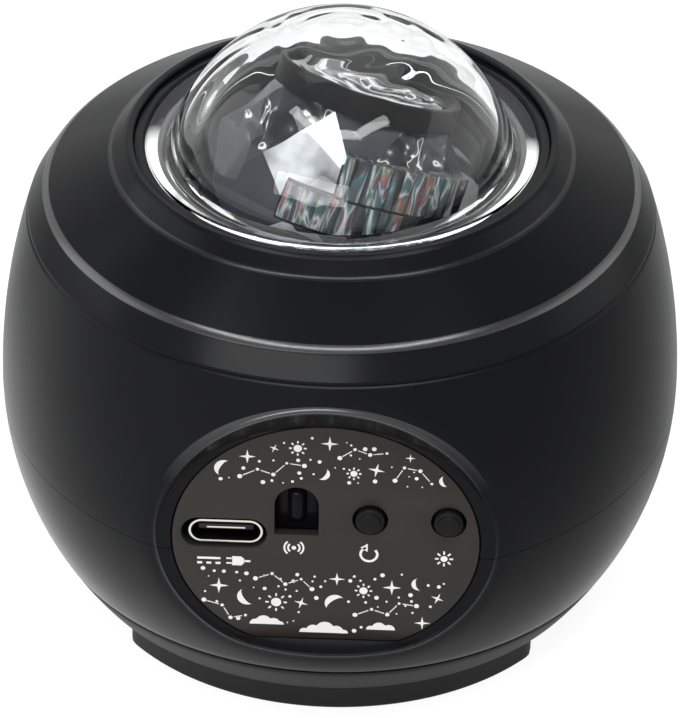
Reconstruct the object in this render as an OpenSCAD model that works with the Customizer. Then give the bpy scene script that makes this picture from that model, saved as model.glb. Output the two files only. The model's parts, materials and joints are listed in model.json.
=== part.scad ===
// Ball-shaped night sky projector: black two-part shell on a low foot, clear dome over a
// motor-turned crystal, and a recessed front panel with a socket, a receiver window and two buttons.
// Millimetres, Z up, front panel towards -Y, origin on the table under the middle of the ball.

/* [Body] */
// Largest diameter of the ball
body_d = 83; // [80:0.5:90]
// Height of the widest level above the table
mid_z = 30.4; // [29.5:0.1:32]
// How far the shell seam lies below the widest level
seam_drop = 3.1; // [2.8:0.1:3.6]
// Wall thickness of the shells
wall = 2; // [1.6:0.1:2.2]
// Height of the side wall above the widest level
side_h = 23.1; // [22.5:0.1:25]
// How far the side wall leans in up to the shoulder
side_lean = 3.4; // [2.6:0.1:4]
// Width of the shoulder chamfer, seen from above
chamfer_w = 1.9; // [1.2:0.1:2.4]
// Height of the shoulder chamfer
chamfer_h = 3.3; // [2.6:0.1:4]
// Rise of the sloping top from the rim to the collar
top_rise = 4.7; // [4:0.1:5.4]

/* [Collar and dome] */
// Diameter of the raised collar at its foot
collar_d = 56; // [55:0.5:58]
// Height of the raised collar
collar_h = 2; // [1.6:0.1:3]
// How far the collar leans in up to its lip
collar_lean = 1.6; // [1:0.1:1.8]
// Depth of the dome's seat below the collar lip
seat_depth = 2.1; // [1.9:0.1:2.6]
// Outer diameter of the clear dome
dome_d = 43.4; // [42.6:0.1:44]
// Wall thickness of the clear dome
dome_wall = 1.5; // [1.2:0.1:1.8]
// Height of the dome's seat above the centre of its sphere
dome_sink = 4.4; // [4:0.1:5]
// Diameter of the dome's clear flange
flange_d = 47.4; // [47:0.1:47.8]
// Thickness of the dome's flange
flange_t = 1.6; // [1.4:0.1:1.8]
// Height of the moulded ripples on the crown of the dome
ripple_h = 0.25; // [0.1:0.05:0.4]
// Number of ripple rings on the crown of the dome
ripple_rings = 4; // [2:1:6]

/* [Foot] */
// Height of the foot piece up to the groove
base_h = 9.6; // [8.8:0.1:10.4]
// Height of the straight foot under the ball
foot_h = 4.6; // [4:0.1:5.2]
// Diameter of the straight foot
foot_d = 62; // [58:0.5:64]
// Width of the foot across its two flat sides
foot_flat = 49.2; // [47:0.2:54]
// Diameter of the rubber pads
pad_d = 8; // [6:0.5:9]
// How far the rubber pads stand proud of the foot
pad_proud = 0.4; // [0.3:0.1:0.8]

/* [Front panel] */
// Distance from the ball's side to the panel's face
panel_inset = 5.5; // [5.2:0.1:5.8]
// Width of the oval panel
panel_w = 36.8; // [36.6:0.1:38]
// Height of the oval panel before its foot is cut straight
panel_h = 32.8; // [32:0.1:34]
// Height of the straight cut above the lowest point of the oval
panel_cut = 2; // [1.6:0.1:2.4]
// How far the middle of the oval lies below the widest level
panel_drop = 1.25; // [0.8:0.05:1.6]
// Thickness of the panel
panel_t = 1.2; // [1:0.1:1.4]
// Sideways place of the power socket
usb_x = -12; // [-12.2:0.1:-11.6]
// Sideways place of the receiver window
ir_x = -3.5; // [-3.8:0.1:-3.2]
// Sideways place of the motor button
motor_button_x = 5.3; // [4.6:0.1:5.6]
// Sideways place of the light button
mode_button_x = 14.7; // [14:0.1:14.8]
// Height of both buttons above the circuit board
button_rise = 4.2; // [4:0.1:4.6]
// Diameter of the button stems
stem_d = 3.5; // [3:0.1:3.7]
// Gap round each button stem in the panel
stem_gap = 0.4; // [0.3:0.05:0.5]
// How far the button stems stand proud of the panel
stem_proud = 0.9; // [0.5:0.1:1.5]
// Travel of the buttons
stem_travel = 0.3; // [0.2:0.05:0.4]

/* [Rotor] */
// Tooth module of the gear pair
tooth_m = 0.8; // [0.78:0.01:0.82]
// Teeth on the rotor's ring gear
ring_teeth = 50; // [48:1:51]
// Teeth on the motor pinion
pinion_teeth = 10; // [10:1:11]
// Thickness of both gears
gear_t = 2.4; // [2:0.1:2.6]
// Lean of the crystal to the right
crystal_roll = 17; // [12:1:20]
// Lean of the crystal to the back
crystal_pitch = 20; // [14:1:22]
// Number of sides of the crystal
crystal_sides = 8; // [6:1:10]
// Radius of the crystal round its middle
crystal_r = 16.5; // [15.5:0.1:16.8]
// Radius of the crystal under its black cap
crystal_top_r = 11; // [10.6:0.1:11.4]
// Height of the crystal above the middle of its lean
crystal_h = 9; // [8:0.1:9.6]
// Height of the black cap on the crystal
cap_h = 3; // [2.4:0.1:3.2]
// Width of one rib of the prism bands
rib_w = 1.5; // [1.2:0.05:1.9]

/* [Drive and light] */
// Diameter of the motor shaft
shaft_d = 3; // [2.5:0.1:3]
// Width of the gearbox
gearbox_w = 12; // [11:0.1:12.4]
// Depth of the gearbox
gearbox_d = 10; // [9:0.1:10.4]
// Length of the gearbox
gearbox_l = 9; // [8:0.1:10]
// Length of the motor can
motor_l = 15; // [12:0.1:16]
// Height of the heat sink's fins
fin_h = 10; // [6:0.5:11]
// Number of fins on the heat sink
fins = 7; // [5:1:8]

/* [Hidden] */
$fn = 96;
fit_gap = 0.05;      // sliding and press fits, per side
seat_gap = 0.2;      // between turning and fixed faces
air_gap = 0.4;       // round parts that only pass each other
shell_colour = [0.11, 0.115, 0.125];
clear_colour = [0.86, 0.9, 0.94, 0.45];

// Ball and top
body_r = body_d / 2;
seam_z = mid_z - seam_drop;
side_r = (side_h * side_h + side_lean * side_lean) / (2 * side_lean);
side_a = asin(side_h / side_r);
shoulder_z = mid_z + side_h;
rim_r = body_r - side_lean - chamfer_w;
rim_z = shoulder_z + chamfer_h;
collar_r = collar_d / 2;
collar_z = rim_z + top_rise;
lip_z = collar_z + collar_h;
lip_r = collar_r - collar_lean;
lip_round = 0.4;
seat_z = lip_z - seat_depth;

// Dome
dome_r = dome_d / 2;
dome_z = seat_z - dome_sink;
skirt_h = 1.2;
flange_r = flange_d / 2;
flange_step = 0.7;
flange_foot_t = flange_t / 2;
flange_foot_r = flange_r + flange_step;
retainer_w = 0.8;
bore_r = flange_foot_r + retainer_w;
hole_r = sqrt(dome_r * dome_r - (dome_sink - skirt_h) * (dome_sink - skirt_h)) + seat_gap;
ripple_a = 34;

// Foot and the screws that close the body
floor_t = 2;
floor_z = base_h + floor_t;
groove_h = 0.4;
groove_d = 0.8;
foot_r = foot_d / 2;
foot_floor_t = 2.4;
foot_cavity_r = foot_flat / 2 - 2.2;
pad_depth = 1;
pad_r = foot_flat / 2 - pad_d / 2 - 1.2;
screw_r = 1.15;
pilot_r = screw_r + fit_gap;
shank_hole_r = 1.6;
head_r = 2.6;
head_h = 1.6;
head_hole_r = 3.1;
base_post_d = 7;
base_boss_at = 15;
base_boss_h = 6;
base_bridge = 3;
shell_post_d = 7;
shell_post_at = body_r - 11.5;
shell_bridge = 5;
shell_screw_l = 12;
POST_ANGLES = [45, 135, 225, 315];
BASE_ANGLES = [0, 90, 180, 270];

// Front panel and its recess
panel_y = body_r - panel_inset;
panel_back = panel_y - panel_t;
ledge_t = 1.8;
ledge_y = panel_back - fit_gap;
front_wall_y = ledge_y - ledge_t;
panel_z = mid_z - panel_drop;
panel_gap = 0.15;
side_flare = 1.7;
shoulder_rise = 0.05;
recess_steps = 8;
recess_deep = 7;
board_t = 1.6;
board_top = mid_z - 2.2;
usb_w = 8.94;
usb_t = 3.26;
usb_l = 7.35;
usb_wall = 0.3;
usb_z = board_top + usb_t / 2;
usb_front = panel_y - 0.4;
usb_slot_gap = 0.5;
usb_slot_shift = 0.2;
window_rest = 0.5;
window_z0 = board_top - board_t - 1.1;
window_z1 = board_top + 10.3;
ir_w = 5.3;
ir_window_z0 = board_top + 1.7;
ir_window_h = 6.9;
button_z = board_top + button_rise;
switch_w = 6;
switch_h = 7.2;
switch_t = 3.5;
switch_front = front_wall_y - 1.7;
stem_end = switch_front - 0.4;
stem_bore = stem_travel + 0.6;
stem_edge = 0.4;

// Deck, gears and rotor, stacked down from the dome's seat
deck_t = 2;
deck_z = seat_z - 12;
deck_boss_d = 5.5;
DECK_ANGLES = [30, 150, 270];
collar_out = 12.5;
collar_in = 10.8;
deck_collar_h = 4.2;
gear_z = deck_z + 1.4;
gear_top = gear_z + gear_t;
backlash = 0.25;
ring_r = tooth_m * ring_teeth / 2;
pinion_r = tooth_m * pinion_teeth / 2;
motor_y = ring_r + pinion_r;
deck_rim = 4.6;
deck_r = motor_y + deck_rim;
deck_boss_at = deck_r - 3.1;
hub_r = collar_out + fit_gap;
clip_out = collar_out + 1.1;
clip_t = 0.8;
hub_lip_z = deck_z + deck_collar_h - seat_gap;
hub_well_r = clip_out + air_gap;
carrier_r = hub_well_r + 2.6;
carrier_z = gear_top + 0.8;
crystal_z = carrier_z + 4.5;
crystal_foot_h = 9;
crystal_low_h = 4;
crystal_waist_h = 2;
crystal_waist_r = crystal_r - 1;
crystal_foot_r = crystal_r - 0.3;
crystal_ring_h = 2.4;
cap_r = crystal_top_r + 0.3;
cap_wall = 1.8;
lens_bore_r = collar_in + 0.2;
lens_bore_top = carrier_z + 7;
tier_r = crystal_waist_r + 0.6;
tier_t = 2.2;
tier_gap = 0.3;
tier_end = 1;
rib_rise = 0.4;
upper_tier = [262, 328];
lower_tier = [240, 296];
upper_tier_h = 5;
lower_tier_h = 4.6;
tier_split = 0.4;

// Light and drive below the deck
sink_flange_r = 15;
sink_flange_t = 2;
sink_z = deck_z - deck_t;
fin_r = 12;
fin_t = 1.2;
sink_screw_at = 13;
led_r = collar_in - 0.3;
led_t = 1.6;
chip_w = 2.8;
chip_h = 0.8;
chip_at = 2;
lens_foot_in = 5.2;
lens_foot_out = 6.5;
lens_top_r = 9.6;
lens_h = 9;
motor_d = 12;
lead_hole_r = 1.7;
lead_hole_x = -4.8;
lead_hole_y = -7.5;

// Circuit board
board_front_w = 36.6;
board_tab_w = 34.8;
board_front = panel_back - 0.4;
board_neck = front_wall_y - 0.3;
board_back = 4.4;
post_side = shell_post_at * sin(45) - shell_post_d / 2;
board_w = 2 * (post_side - 0.7);
board_step = post_side + shell_post_d + 0.8;
board_hole_x = post_side - head_r - 1.1;
board_hole_r = 1.4;
board_hole_front = front_wall_y - 9;
board_hole_back = 8;
board_cap_r = 2.5;
board_cap_h = 5.4;
board_cap_x = board_hole_x - head_r - board_cap_r - air_gap;
board_cap_y = switch_front - switch_t - 0.8 - board_cap_r;
chip_row_y = board_cap_y - board_cap_r - air_gap;
MAIN_CHIP = [10, 6, 1.75];
DRIVER_CHIP = [5, 4, 1.5];
chip_row_x = -4;

// Internal leads: points chosen by hand
connector_w = 5;
connector_d = 4.4;
connector_h = 3.4;
motor_plug = [board_hole_x - head_r - connector_w, -7.3];
led_plug = [lead_hole_x, lead_hole_y];
motor_lead_d = 2;
led_lead_d = 2.4;
motor_foot_z = sink_z - gearbox_l - motor_l;
plug_rear = motor_plug[1] + connector_d / 2;
plug_z = board_top + connector_h / 2;
MOTOR_LEAD = [
    [0, motor_y, motor_foot_z],
    [0, motor_y, motor_foot_z - 1],
    [0, motor_y - 0.1, motor_foot_z - 2],
    [1.6, motor_y - 1.4, motor_foot_z - 3],
    [5, motor_y - 5.5, motor_foot_z - 3],
    [motor_plug[0] - 1, motor_y / 2, motor_foot_z - 2.5],
    [motor_plug[0] - 0.5, 4, motor_foot_z],
    [motor_plug[0] - 0.3, plug_rear + 6, plug_z - 1.6],
    [motor_plug[0], plug_rear + 4, plug_z],
    [motor_plug[0], plug_rear + 2, plug_z],
    [motor_plug[0], plug_rear, plug_z]];
LED_LEAD = [
    [lead_hole_x, lead_hole_y, sink_z],
    [lead_hole_x, lead_hole_y, sink_z - led_lead_d],
    [led_plug[0], led_plug[1], board_top + connector_h + led_lead_d],
    [led_plug[0], led_plug[1], board_top + connector_h]];

function arc(r0, z0, r, a0, a1, n) =
    [for (i = [0 : n]) let (a = a0 + (a1 - a0) * i / n) [r0 + r * cos(a), z0 + r * sin(a)]];
function ball_a(r, z) = asin((z - mid_z) / r);
function ball_at(r, z) = sqrt(r * r - (z - mid_z) * (z - mid_z));
function unit(v) = v / norm(v);

// ---- Shells ----

// Outline of the ball's upper half, wall thickness t inside it, begun at height z0
function top_outline(t, z0) = concat(
    [[0, z0]],
    arc(0, mid_z, body_r - t, ball_a(body_r - t, z0), 0, 4),
    arc(body_r - side_r, mid_z, side_r - t, side_a / 12, side_a, 11));

module upper_solid() {
    rotate_extrude()
        polygon(concat(top_outline(0, seam_z), [
            [rim_r, rim_z],
            [collar_r, collar_z],
            [lip_r, lip_z - lip_round],
            [lip_r - lip_round, lip_z],
            [bore_r + lip_round / 2, lip_z],
            [bore_r, lip_z - lip_round / 2],
            [bore_r, seat_z],
            [0, seat_z]]));
}

module upper_cavity(t) {
    rotate_extrude()
        polygon(concat(top_outline(t, seam_z - 1), [
            [rim_r - 0.85 * t, rim_z - 0.9 * t],
            [collar_r - 0.5 * t, collar_z - 0.87 * t],
            [hole_r, seat_z - t],
            [hole_r, seat_z + 1],
            [0, seat_z + 1]]));
}

module behind_front_wall() {
    difference() {
        children();
        translate([-body_r, -2 * body_r - front_wall_y, 0])
            cube([2 * body_r, 2 * body_r, 3 * body_r]);
    }
}

// Oval with a straight foot: half width a, reach up b, reach down c, foot cut at height k
function oval(a, b, c, k, n) =
    [for (i = [0 : n - 1])
        let (t = 360 * i / n, s = sin(t) * (sin(t) > 0 ? b : c))
        [a * cos(t), max(s, -k) + 0.12 * ln(1 + exp(-abs(s + k) / 0.12))]];
function panel_outline(grow, wide, up, down) = oval(
    panel_w / 2 + grow + wide,
    panel_h / 2 + grow + up,
    panel_h / 2 + grow + down,
    panel_h / 2 - panel_cut + grow + down, 72);

// The recess: a straight pocket for the panel, then a flare to the ball's surface
module recess() {
    n = 72;
    steps = concat([[ledge_y, 0, 0, 0], [panel_y, 0, 0, 0]],
        [for (i = [0 : recess_steps])
            let (d = shoulder_rise + recess_deep * i / recess_steps)
            [panel_y + d, side_flare + 0.9 * d, 1.35 * d, 0.7 * d]]);
    rings = [for (s = steps)
        [for (p = panel_outline(panel_gap, s[1], s[2], s[3])) [p[0], -s[0], panel_z + p[1]]]];
    last = len(steps) - 1;
    polyhedron(
        [for (ring = rings) each ring],
        concat(
            [[for (i = [0 : n - 1]) i]],
            [[for (i = [0 : n - 1]) last * n + n - 1 - i]],
            [for (k = [0 : last - 1], i = [0 : n - 1])
                [k * n + i, (k + 1) * n + i, (k + 1) * n + (i + 1) % n, k * n + (i + 1) % n]]),
        convexity = 6);
}

// The window behind the panel leaves a narrow rest all round the panel's edge
module window() {
    intersection() {
        upright(front_wall_y - 1, panel_y)
            translate([0, panel_z])
                polygon(panel_outline(-window_rest, 0, 0, 0));
        translate([-body_r, -body_r, window_z0])
            cube([body_d, body_d, window_z1 - window_z0]);
    }
}

module upper_shell() color(shell_colour) {
    difference() {
        union() {
            difference() {
                upper_solid();
                behind_front_wall() upper_cavity(wall);
            }
            intersection() {
                behind_front_wall() upper_cavity(wall / 2);
                union() {
                    for (a = POST_ANGLES)
                        rotate(a) translate([shell_post_at, 0, seam_z])
                            cylinder(d = shell_post_d, h = seat_z - seam_z);
                    for (a = DECK_ANGLES)
                        rotate(a) translate([deck_boss_at, 0, deck_z])
                            cylinder(d = deck_boss_d, h = seat_z - deck_z);
                }
            }
        }
        recess();
        window();
        for (a = POST_ANGLES)
            rotate(a) translate([shell_post_at, 0, seam_z - 1])
                cylinder(r = pilot_r, h = shell_screw_l);
        for (a = DECK_ANGLES)
            rotate(a) translate([deck_boss_at, 0, deck_z - 1])
                cylinder(r = pilot_r, h = 8);
    }
}

module lower_solid() {
    rotate_extrude()
        polygon(concat([[0, base_h]],
            arc(0, mid_z, body_r, ball_a(body_r, base_h), ball_a(body_r, seam_z), 10),
            [[0, seam_z]]));
}

module lower_cavity() {
    in_r = body_r - wall;
    rotate_extrude()
        polygon(concat([[0, floor_z]],
            arc(0, mid_z, in_r, ball_a(in_r, floor_z), ball_a(in_r, seam_z), 10),
            [[ball_at(in_r, seam_z), seam_z + 1], [0, seam_z + 1]]));
}

module lower_shell() color(shell_colour) {
    lip_out = ball_at(body_r - wall, seam_z) - fit_gap;
    difference() {
        union() {
            difference() {
                lower_solid();
                behind_front_wall() lower_cavity();
            }
            // Register lip inside the seam, left out behind the front panel
            difference() {
                translate([0, 0, seam_z - 3])
                    cylinder(r = lip_out, h = 5);
                translate([0, 0, seam_z - 4])
                    cylinder(r = lip_out - 1, h = 7);
                translate([-body_r, -2 * body_r - front_wall_y + 9, 0])
                    cube([2 * body_r, 2 * body_r, body_d]);
            }
            for (a = POST_ANGLES)
                rotate(a) translate([shell_post_at, 0, base_h + 0.5])
                    cylinder(d = shell_post_d, h = seam_z - base_h - 0.5);
            for (a = BASE_ANGLES)
                rotate(a) translate([base_boss_at, 0, floor_z - 0.5])
                    cylinder(d = base_post_d - 1, h = base_boss_h + 0.5);
            for (x = [-board_hole_x, board_hole_x], y = [-board_hole_front, -board_hole_back])
                translate([x, y, floor_z - 0.5])
                    cylinder(d = 5, h = board_top - board_t - floor_z + 0.5);
        }
        recess();
        window();
        for (a = POST_ANGLES)
            rotate(a) translate([shell_post_at, 0, 0]) {
                translate([0, 0, base_h - 1])
                    cylinder(r = head_hole_r, h = seam_z - shell_bridge - base_h + 1);
                cylinder(r = shank_hole_r, h = seam_z + 1);
            }
        for (a = BASE_ANGLES)
            rotate(a) translate([base_boss_at, 0, base_h - 1])
                cylinder(r = pilot_r, h = base_boss_h + floor_t + 0.5);
        for (x = [-board_hole_x, board_hole_x], y = [-board_hole_front, -board_hole_back])
            translate([x, y, board_top - board_t - 8])
                cylinder(r = pilot_r, h = 9);
    }
}

// ---- Foot ----

module foot_base() color([0.15, 0.15, 0.16]) {
    top = base_h - groove_h;
    difference() {
        union() {
            intersection() {
                translate([0, 0, pad_proud])
                    cylinder(r = foot_r, h = foot_h - pad_proud + 0.5);
                translate([-foot_flat / 2, -foot_r, 0])
                    cube([foot_flat, 2 * foot_r, foot_h + 1]);
            }
            rotate_extrude()
                polygon(concat([[0, foot_h]],
                    arc(0, mid_z, body_r, ball_a(body_r, foot_h), ball_a(body_r, top), 5),
                    [[ball_at(body_r, top) - groove_d, top],
                        [ball_at(body_r, top) - groove_d, base_h],
                        [0, base_h]]));
        }
        difference() {
            translate([0, 0, pad_proud + foot_floor_t])
                cylinder(r = foot_cavity_r, h = base_h);
            for (a = BASE_ANGLES)
                rotate(a) translate([base_boss_at, 0, 0])
                    cylinder(d = base_post_d + 1, h = base_h + 1);
        }
        for (a = BASE_ANGLES)
            rotate(a) translate([base_boss_at, 0, -1]) {
                cylinder(r = head_hole_r, h = base_h - base_bridge + 1);
                cylinder(r = shank_hole_r, h = base_h + 2);
            }
        pad_places() translate([0, 0, -1])
            cylinder(r = pad_d / 2 + fit_gap, h = pad_proud + pad_depth + 1);
    }
}

// One pad in the middle and one near each corner
module pad_places() {
    children();
    for (a = POST_ANGLES)
        rotate(a) translate([pad_r, 0, 0])
            children();
}

module foot_pads() color([0.2, 0.2, 0.2])
    pad_places() cylinder(d = pad_d, h = pad_proud + pad_depth);

module screw(length) {
    difference() {
        union() {
            translate([0, 0, -head_h])
                cylinder(r = head_r, h = head_h);
            cylinder(r = screw_r, h = length);
        }
        for (a = [0, 90])
            rotate(a) translate([-1.5, -0.3, -head_h - 1])
                cube([3, 0.6, head_h / 2 + 1]);
    }
}

module base_screws() color("silver")
    for (a = BASE_ANGLES)
        rotate(a) translate([base_boss_at, 0, base_h - base_bridge])
            screw(base_bridge + base_boss_h);

module shell_screws() color("silver")
    for (a = POST_ANGLES)
        rotate(a) translate([shell_post_at, 0, seam_z - shell_bridge])
            screw(shell_bridge + shell_screw_l - 2);

// ---- Front panel ----

// Stands an outline upright, from y0 to y1 in front of the centre
module upright(y0, y1) {
    translate([0, -y0, 0])
        rotate([90, 0, 0])
            linear_extrude(y1 - y0)
                children();
}

module stadium(w, h) {
    square([w - h, h], center = true);
    for (s = [-1, 1])
        translate([s * (w - h) / 2, 0])
            circle(d = h);
}

module control_panel() color([0.22, 0.2, 0.18])
    difference() {
        upright(panel_back, panel_y)
            translate([0, panel_z])
                polygon(panel_outline(0, 0, 0, 0));
        upright(panel_back - 1, panel_y + 1)
            translate([usb_x - usb_slot_shift, usb_z])
                stadium(usb_w + 2 * (usb_slot_gap + usb_slot_shift), usb_t + 2 * usb_slot_gap);
        upright(panel_back - 1, panel_y + 1)
            translate([ir_x, ir_window_z0])
                arch();
        for (x = [motor_button_x, mode_button_x])
            translate([x, -panel_y + panel_t + 1, button_z])
                rotate([90, 0, 0])
                    cylinder(d = stem_d + 2 * stem_gap, h = panel_t + 2);
    }

module arch() {
    translate([-ir_w / 2, 0])
        square([ir_w, ir_window_h - ir_w / 2]);
    translate([0, ir_window_h - ir_w / 2])
        circle(d = ir_w);
}

// ---- Dome ----

function crown(a) = a > ripple_a ? 0 : ripple_h * (1 - cos(360 * ripple_rings * a / ripple_a)) / 2;

module outer_dome() color(clear_colour) {
    in_r = dome_r - dome_wall;
    low = seat_z - skirt_h;
    top = seat_z + flange_t;
    a_low = asin((low - dome_z) / dome_r);
    a_top = asin((top - dome_z) / dome_r);
    a_in = asin((low - dome_z) / in_r);
    n = 44;
    rotate_extrude()
        polygon(concat(
            [[in_r * cos(a_in), low], [dome_r * cos(a_low), low]],
            [[sqrt(dome_r * dome_r - dome_sink * dome_sink), seat_z],
                [flange_foot_r, seat_z],
                [flange_foot_r, seat_z + flange_foot_t],
                [flange_r, seat_z + flange_foot_t],
                [flange_r, top]],
            [for (i = [0 : n])
                let (a = a_top + (90 - a_top) * i / n, r = dome_r - crown(90 - a))
                [i == n ? 0 : r * cos(a), dome_z + r * sin(a)]],
            [for (i = [0 : 24])
                let (a = 90 + (a_in - 90) * i / 24)
                if (i < 24) [i == 0 ? 0 : in_r * cos(a), dome_z + in_r * sin(a)]]));
}

module dome_retainer() color(shell_colour)
    rotate_extrude()
        polygon([
            [flange_foot_r + fit_gap, seat_z],
            [bore_r - fit_gap, seat_z],
            [bore_r - fit_gap, lip_z - 0.6],
            [flange_r + 0.5, lip_z - 0.6],
            [flange_r + 0.15, lip_z - 0.9],
            [flange_r + 0.15, seat_z + flange_foot_t + fit_gap],
            [flange_foot_r + fit_gap, seat_z + flange_foot_t + fit_gap]]);

// ---- Deck and light ----

module optics_deck() color([0.09, 0.09, 0.1])
    difference() {
        union() {
            translate([0, 0, deck_z - deck_t])
                cylinder(r = deck_r, h = deck_t);
            cylinder_at(collar_out, deck_z - 0.5, deck_z + deck_collar_h);
        }
        cylinder_at(collar_in, deck_z - deck_t - 1, deck_z + deck_collar_h + 1);
        for (a = POST_ANGLES)
            rotate(a) translate([shell_post_at, 0, deck_z - deck_t - 1])
                cylinder(r = shell_post_d / 2 + air_gap, h = deck_t + 2);
        for (a = DECK_ANGLES)
            rotate(a) translate([deck_boss_at, 0, deck_z - deck_t - 1])
                cylinder(r = shank_hole_r, h = deck_t + 2);
        translate([0, motor_y, deck_z - deck_t - 1])
            cylinder(r = shaft_d / 2 + air_gap, h = deck_t + 2);
        for (s = [-1, 1]) {
            translate([s * gearbox_w * 0.36, motor_y, deck_z - deck_t - 1])
                cylinder(r = 0.9, h = deck_t + 2);
            translate([s * gearbox_w * 0.36, motor_y, deck_z - 1])
                cylinder(r = 1.6, h = 2);
            translate([s * sink_screw_at, 0, deck_z - deck_t - 1])
                cylinder(r = pilot_r, h = deck_t + 0.8);
        }
    }

module cylinder_at(r, z0, z1) {
    translate([0, 0, z0])
        cylinder(r = r, h = z1 - z0);
}

module deck_screws() color("silver")
    for (a = DECK_ANGLES)
        rotate(a) translate([deck_boss_at, 0, deck_z - deck_t])
            screw(deck_t + 6);

module led_heatsink() color("lightgrey")
    difference() {
        union() {
            cylinder_at(sink_flange_r, sink_z - sink_flange_t, sink_z);
            translate([0, 0, sink_z - sink_flange_t - fin_h])
                linear_extrude(fin_h + 0.5)
                    intersection() {
                        circle(r = fin_r);
                        for (i = [0 : fins - 1])
                            translate([-fin_r, (i - (fins - 1) / 2) * 2 * fin_r / fins - fin_t / 2])
                                square([2 * fin_r, fin_t]);
                    }
        }
        for (s = [-1, 1])
            translate([s * sink_screw_at, 0, sink_z - sink_flange_t - fin_h - 1]) {
                cylinder(r = shank_hole_r, h = fin_h + sink_flange_t + 2);
                cylinder(r = head_hole_r, h = fin_h + 1);
            }
        translate([lead_hole_x, lead_hole_y, sink_z - sink_flange_t - fin_h - 1])
            cylinder(r = lead_hole_r, h = fin_h + sink_flange_t + 2);
    }

module heatsink_screws() color("silver")
    for (s = [-1, 1])
        translate([s * sink_screw_at, 0, sink_z - sink_flange_t])
            screw(sink_flange_t + deck_t - 0.4);

module led_board() color("white")
    cylinder_at(led_r, sink_z, sink_z + led_t);

module led_chips() color("gold")
    for (x = [-chip_at, chip_at], y = [-chip_at, chip_at])
        translate([x - chip_w / 2, y - chip_w / 2, sink_z + led_t])
            cube([chip_w, chip_w, chip_h]);

module led_lens() color(clear_colour) {
    z0 = sink_z + led_t;
    rotate_extrude()
        polygon([
            [lens_foot_in, z0],
            [lens_foot_out, z0],
            [lens_top_r, z0 + lens_h - 1],
            [lens_top_r, z0 + lens_h],
            [0, z0 + lens_h],
            [0, z0 + 3.4],
            [lens_foot_in - 1.6, z0 + 2.8],
            [lens_foot_in, z0 + 1.6]]);
}

// ---- Rotor ----

// Half the angle that a tooth fills at radius r, for n teeth
function inv(a) = tan(a) * 180 / PI - a;
function tooth_half(n, r) =
    let (rp = tooth_m * n / 2, rb = rp * cos(20), q = max(r, rb))
    90 / n - backlash / rp * 90 / PI + inv(20) - inv(acos(rb / q));
function gear_outline(n) =
    let (rp = tooth_m * n / 2,
        radii = [rp - 1.25 * tooth_m, rp - 0.5 * tooth_m, rp, rp + 0.5 * tooth_m, rp + 0.95 * tooth_m])
    [for (k = [0 : n - 1], side = [-1, 1], j = [0 : 4])
        let (r = radii[side < 0 ? j : 4 - j], a = 360 * k / n + side * tooth_half(n, r))
        [r * cos(a), r * sin(a)]];

module rotor_gear() color([0.16, 0.16, 0.17])
    difference() {
        union() {
            translate([0, 0, gear_z])
                rotate(90 + 180 / ring_teeth)
                    linear_extrude(gear_t)
                        polygon(gear_outline(ring_teeth));
            cylinder_at(carrier_r, deck_z + seat_gap, carrier_z);
        }
        cylinder_at(hub_r, deck_z - 1, carrier_z + 1);
        cylinder_at(hub_well_r, hub_lip_z, carrier_z + 1);
    }

module rotor_clip() color("silver")
    difference() {
        cylinder_at(clip_out, deck_z + deck_collar_h, deck_z + deck_collar_h + clip_t);
        cylinder_at(collar_in, deck_z, carrier_z + 5);
    }

module leaned() {
    translate([0, 0, crystal_z])
        rotate([-crystal_pitch, crystal_roll, 0])
            children();
}

// Three rings of corners, each turned half a side from the one below, joined by triangles
module crystal_blank() {
    n = crystal_sides;
    hs = [-crystal_foot_h, -crystal_low_h, crystal_waist_h, crystal_h];
    rs = [crystal_foot_r, crystal_r, crystal_waist_r, crystal_top_r];
    polyhedron(
        [for (k = [0 : 3], i = [0 : n - 1])
            let (a = 360 * (i + k / 2) / n)
            [rs[k] * cos(a), rs[k] * sin(a), hs[k]]],
        concat(
            [[for (i = [0 : n - 1]) i]],
            [[for (i = [0 : n - 1]) 4 * n - 1 - i]],
            [for (k = [0 : 2], i = [0 : n - 1]) [k * n + i, (k + 1) * n + i, k * n + (i + 1) % n]],
            [for (k = [0 : 2], i = [0 : n - 1])
                [k * n + (i + 1) % n, (k + 1) * n + i, (k + 1) * n + (i + 1) % n]]),
        convexity = 6);
}

module sector(r, a0, a1) {
    polygon(concat([[0, 0]], [for (i = [0 : 12]) let (a = a0 + (a1 - a0) * i / 12)
        [r * cos(a), r * sin(a)]]));
}

module tier_space(span, z0, h) {
    translate([0, 0, z0])
        linear_extrude(h)
            difference() {
                sector(body_r / 2 + 3, span[0], span[1]);
                circle(r = tier_r - tier_t);
            }
}

module crystal_drum() color(clear_colour)
    difference() {
        union() {
            leaned()
                difference() {
                    crystal_blank();
                    tier_space(upper_tier, tier_split - tier_gap, upper_tier_h + 2 * tier_gap);
                    tier_space(lower_tier, tier_split - lower_tier_h - tier_gap,
                        lower_tier_h + tier_gap);
                    cylinder_at(cap_r - cap_wall, 0, crystal_h + 1);
                }
            cylinder_at(carrier_r, carrier_z, carrier_z + crystal_ring_h);
        }
        translate([-body_r, -body_r, -body_d + carrier_z])
            cube([body_d, body_d, body_d]);
        cylinder_at(hub_well_r, carrier_z - 1, carrier_z + clip_t + air_gap);
        cylinder_at(lens_bore_r, carrier_z - 1, lens_bore_top);
    }

// One band of upright half-round ribs, its back against the crystal
module rib_band(span, h) {
    ribs = round((span[1] - span[0]) * PI / 180 * tier_r / rib_w);
    step = (span[1] - span[0]) / ribs;
    linear_extrude(h)
        difference() {
            polygon(concat([[0, 0]],
                [for (i = [0 : ribs - 1], j = [0 : 3])
                    let (a = span[0] + step * (i + j / 4), r = tier_r + rib_rise * sin(45 * j))
                    [r * cos(a), r * sin(a)]],
                [[tier_r * cos(span[1]), tier_r * sin(span[1])]]));
            circle(r = tier_r - tier_t);
        }
}

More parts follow.
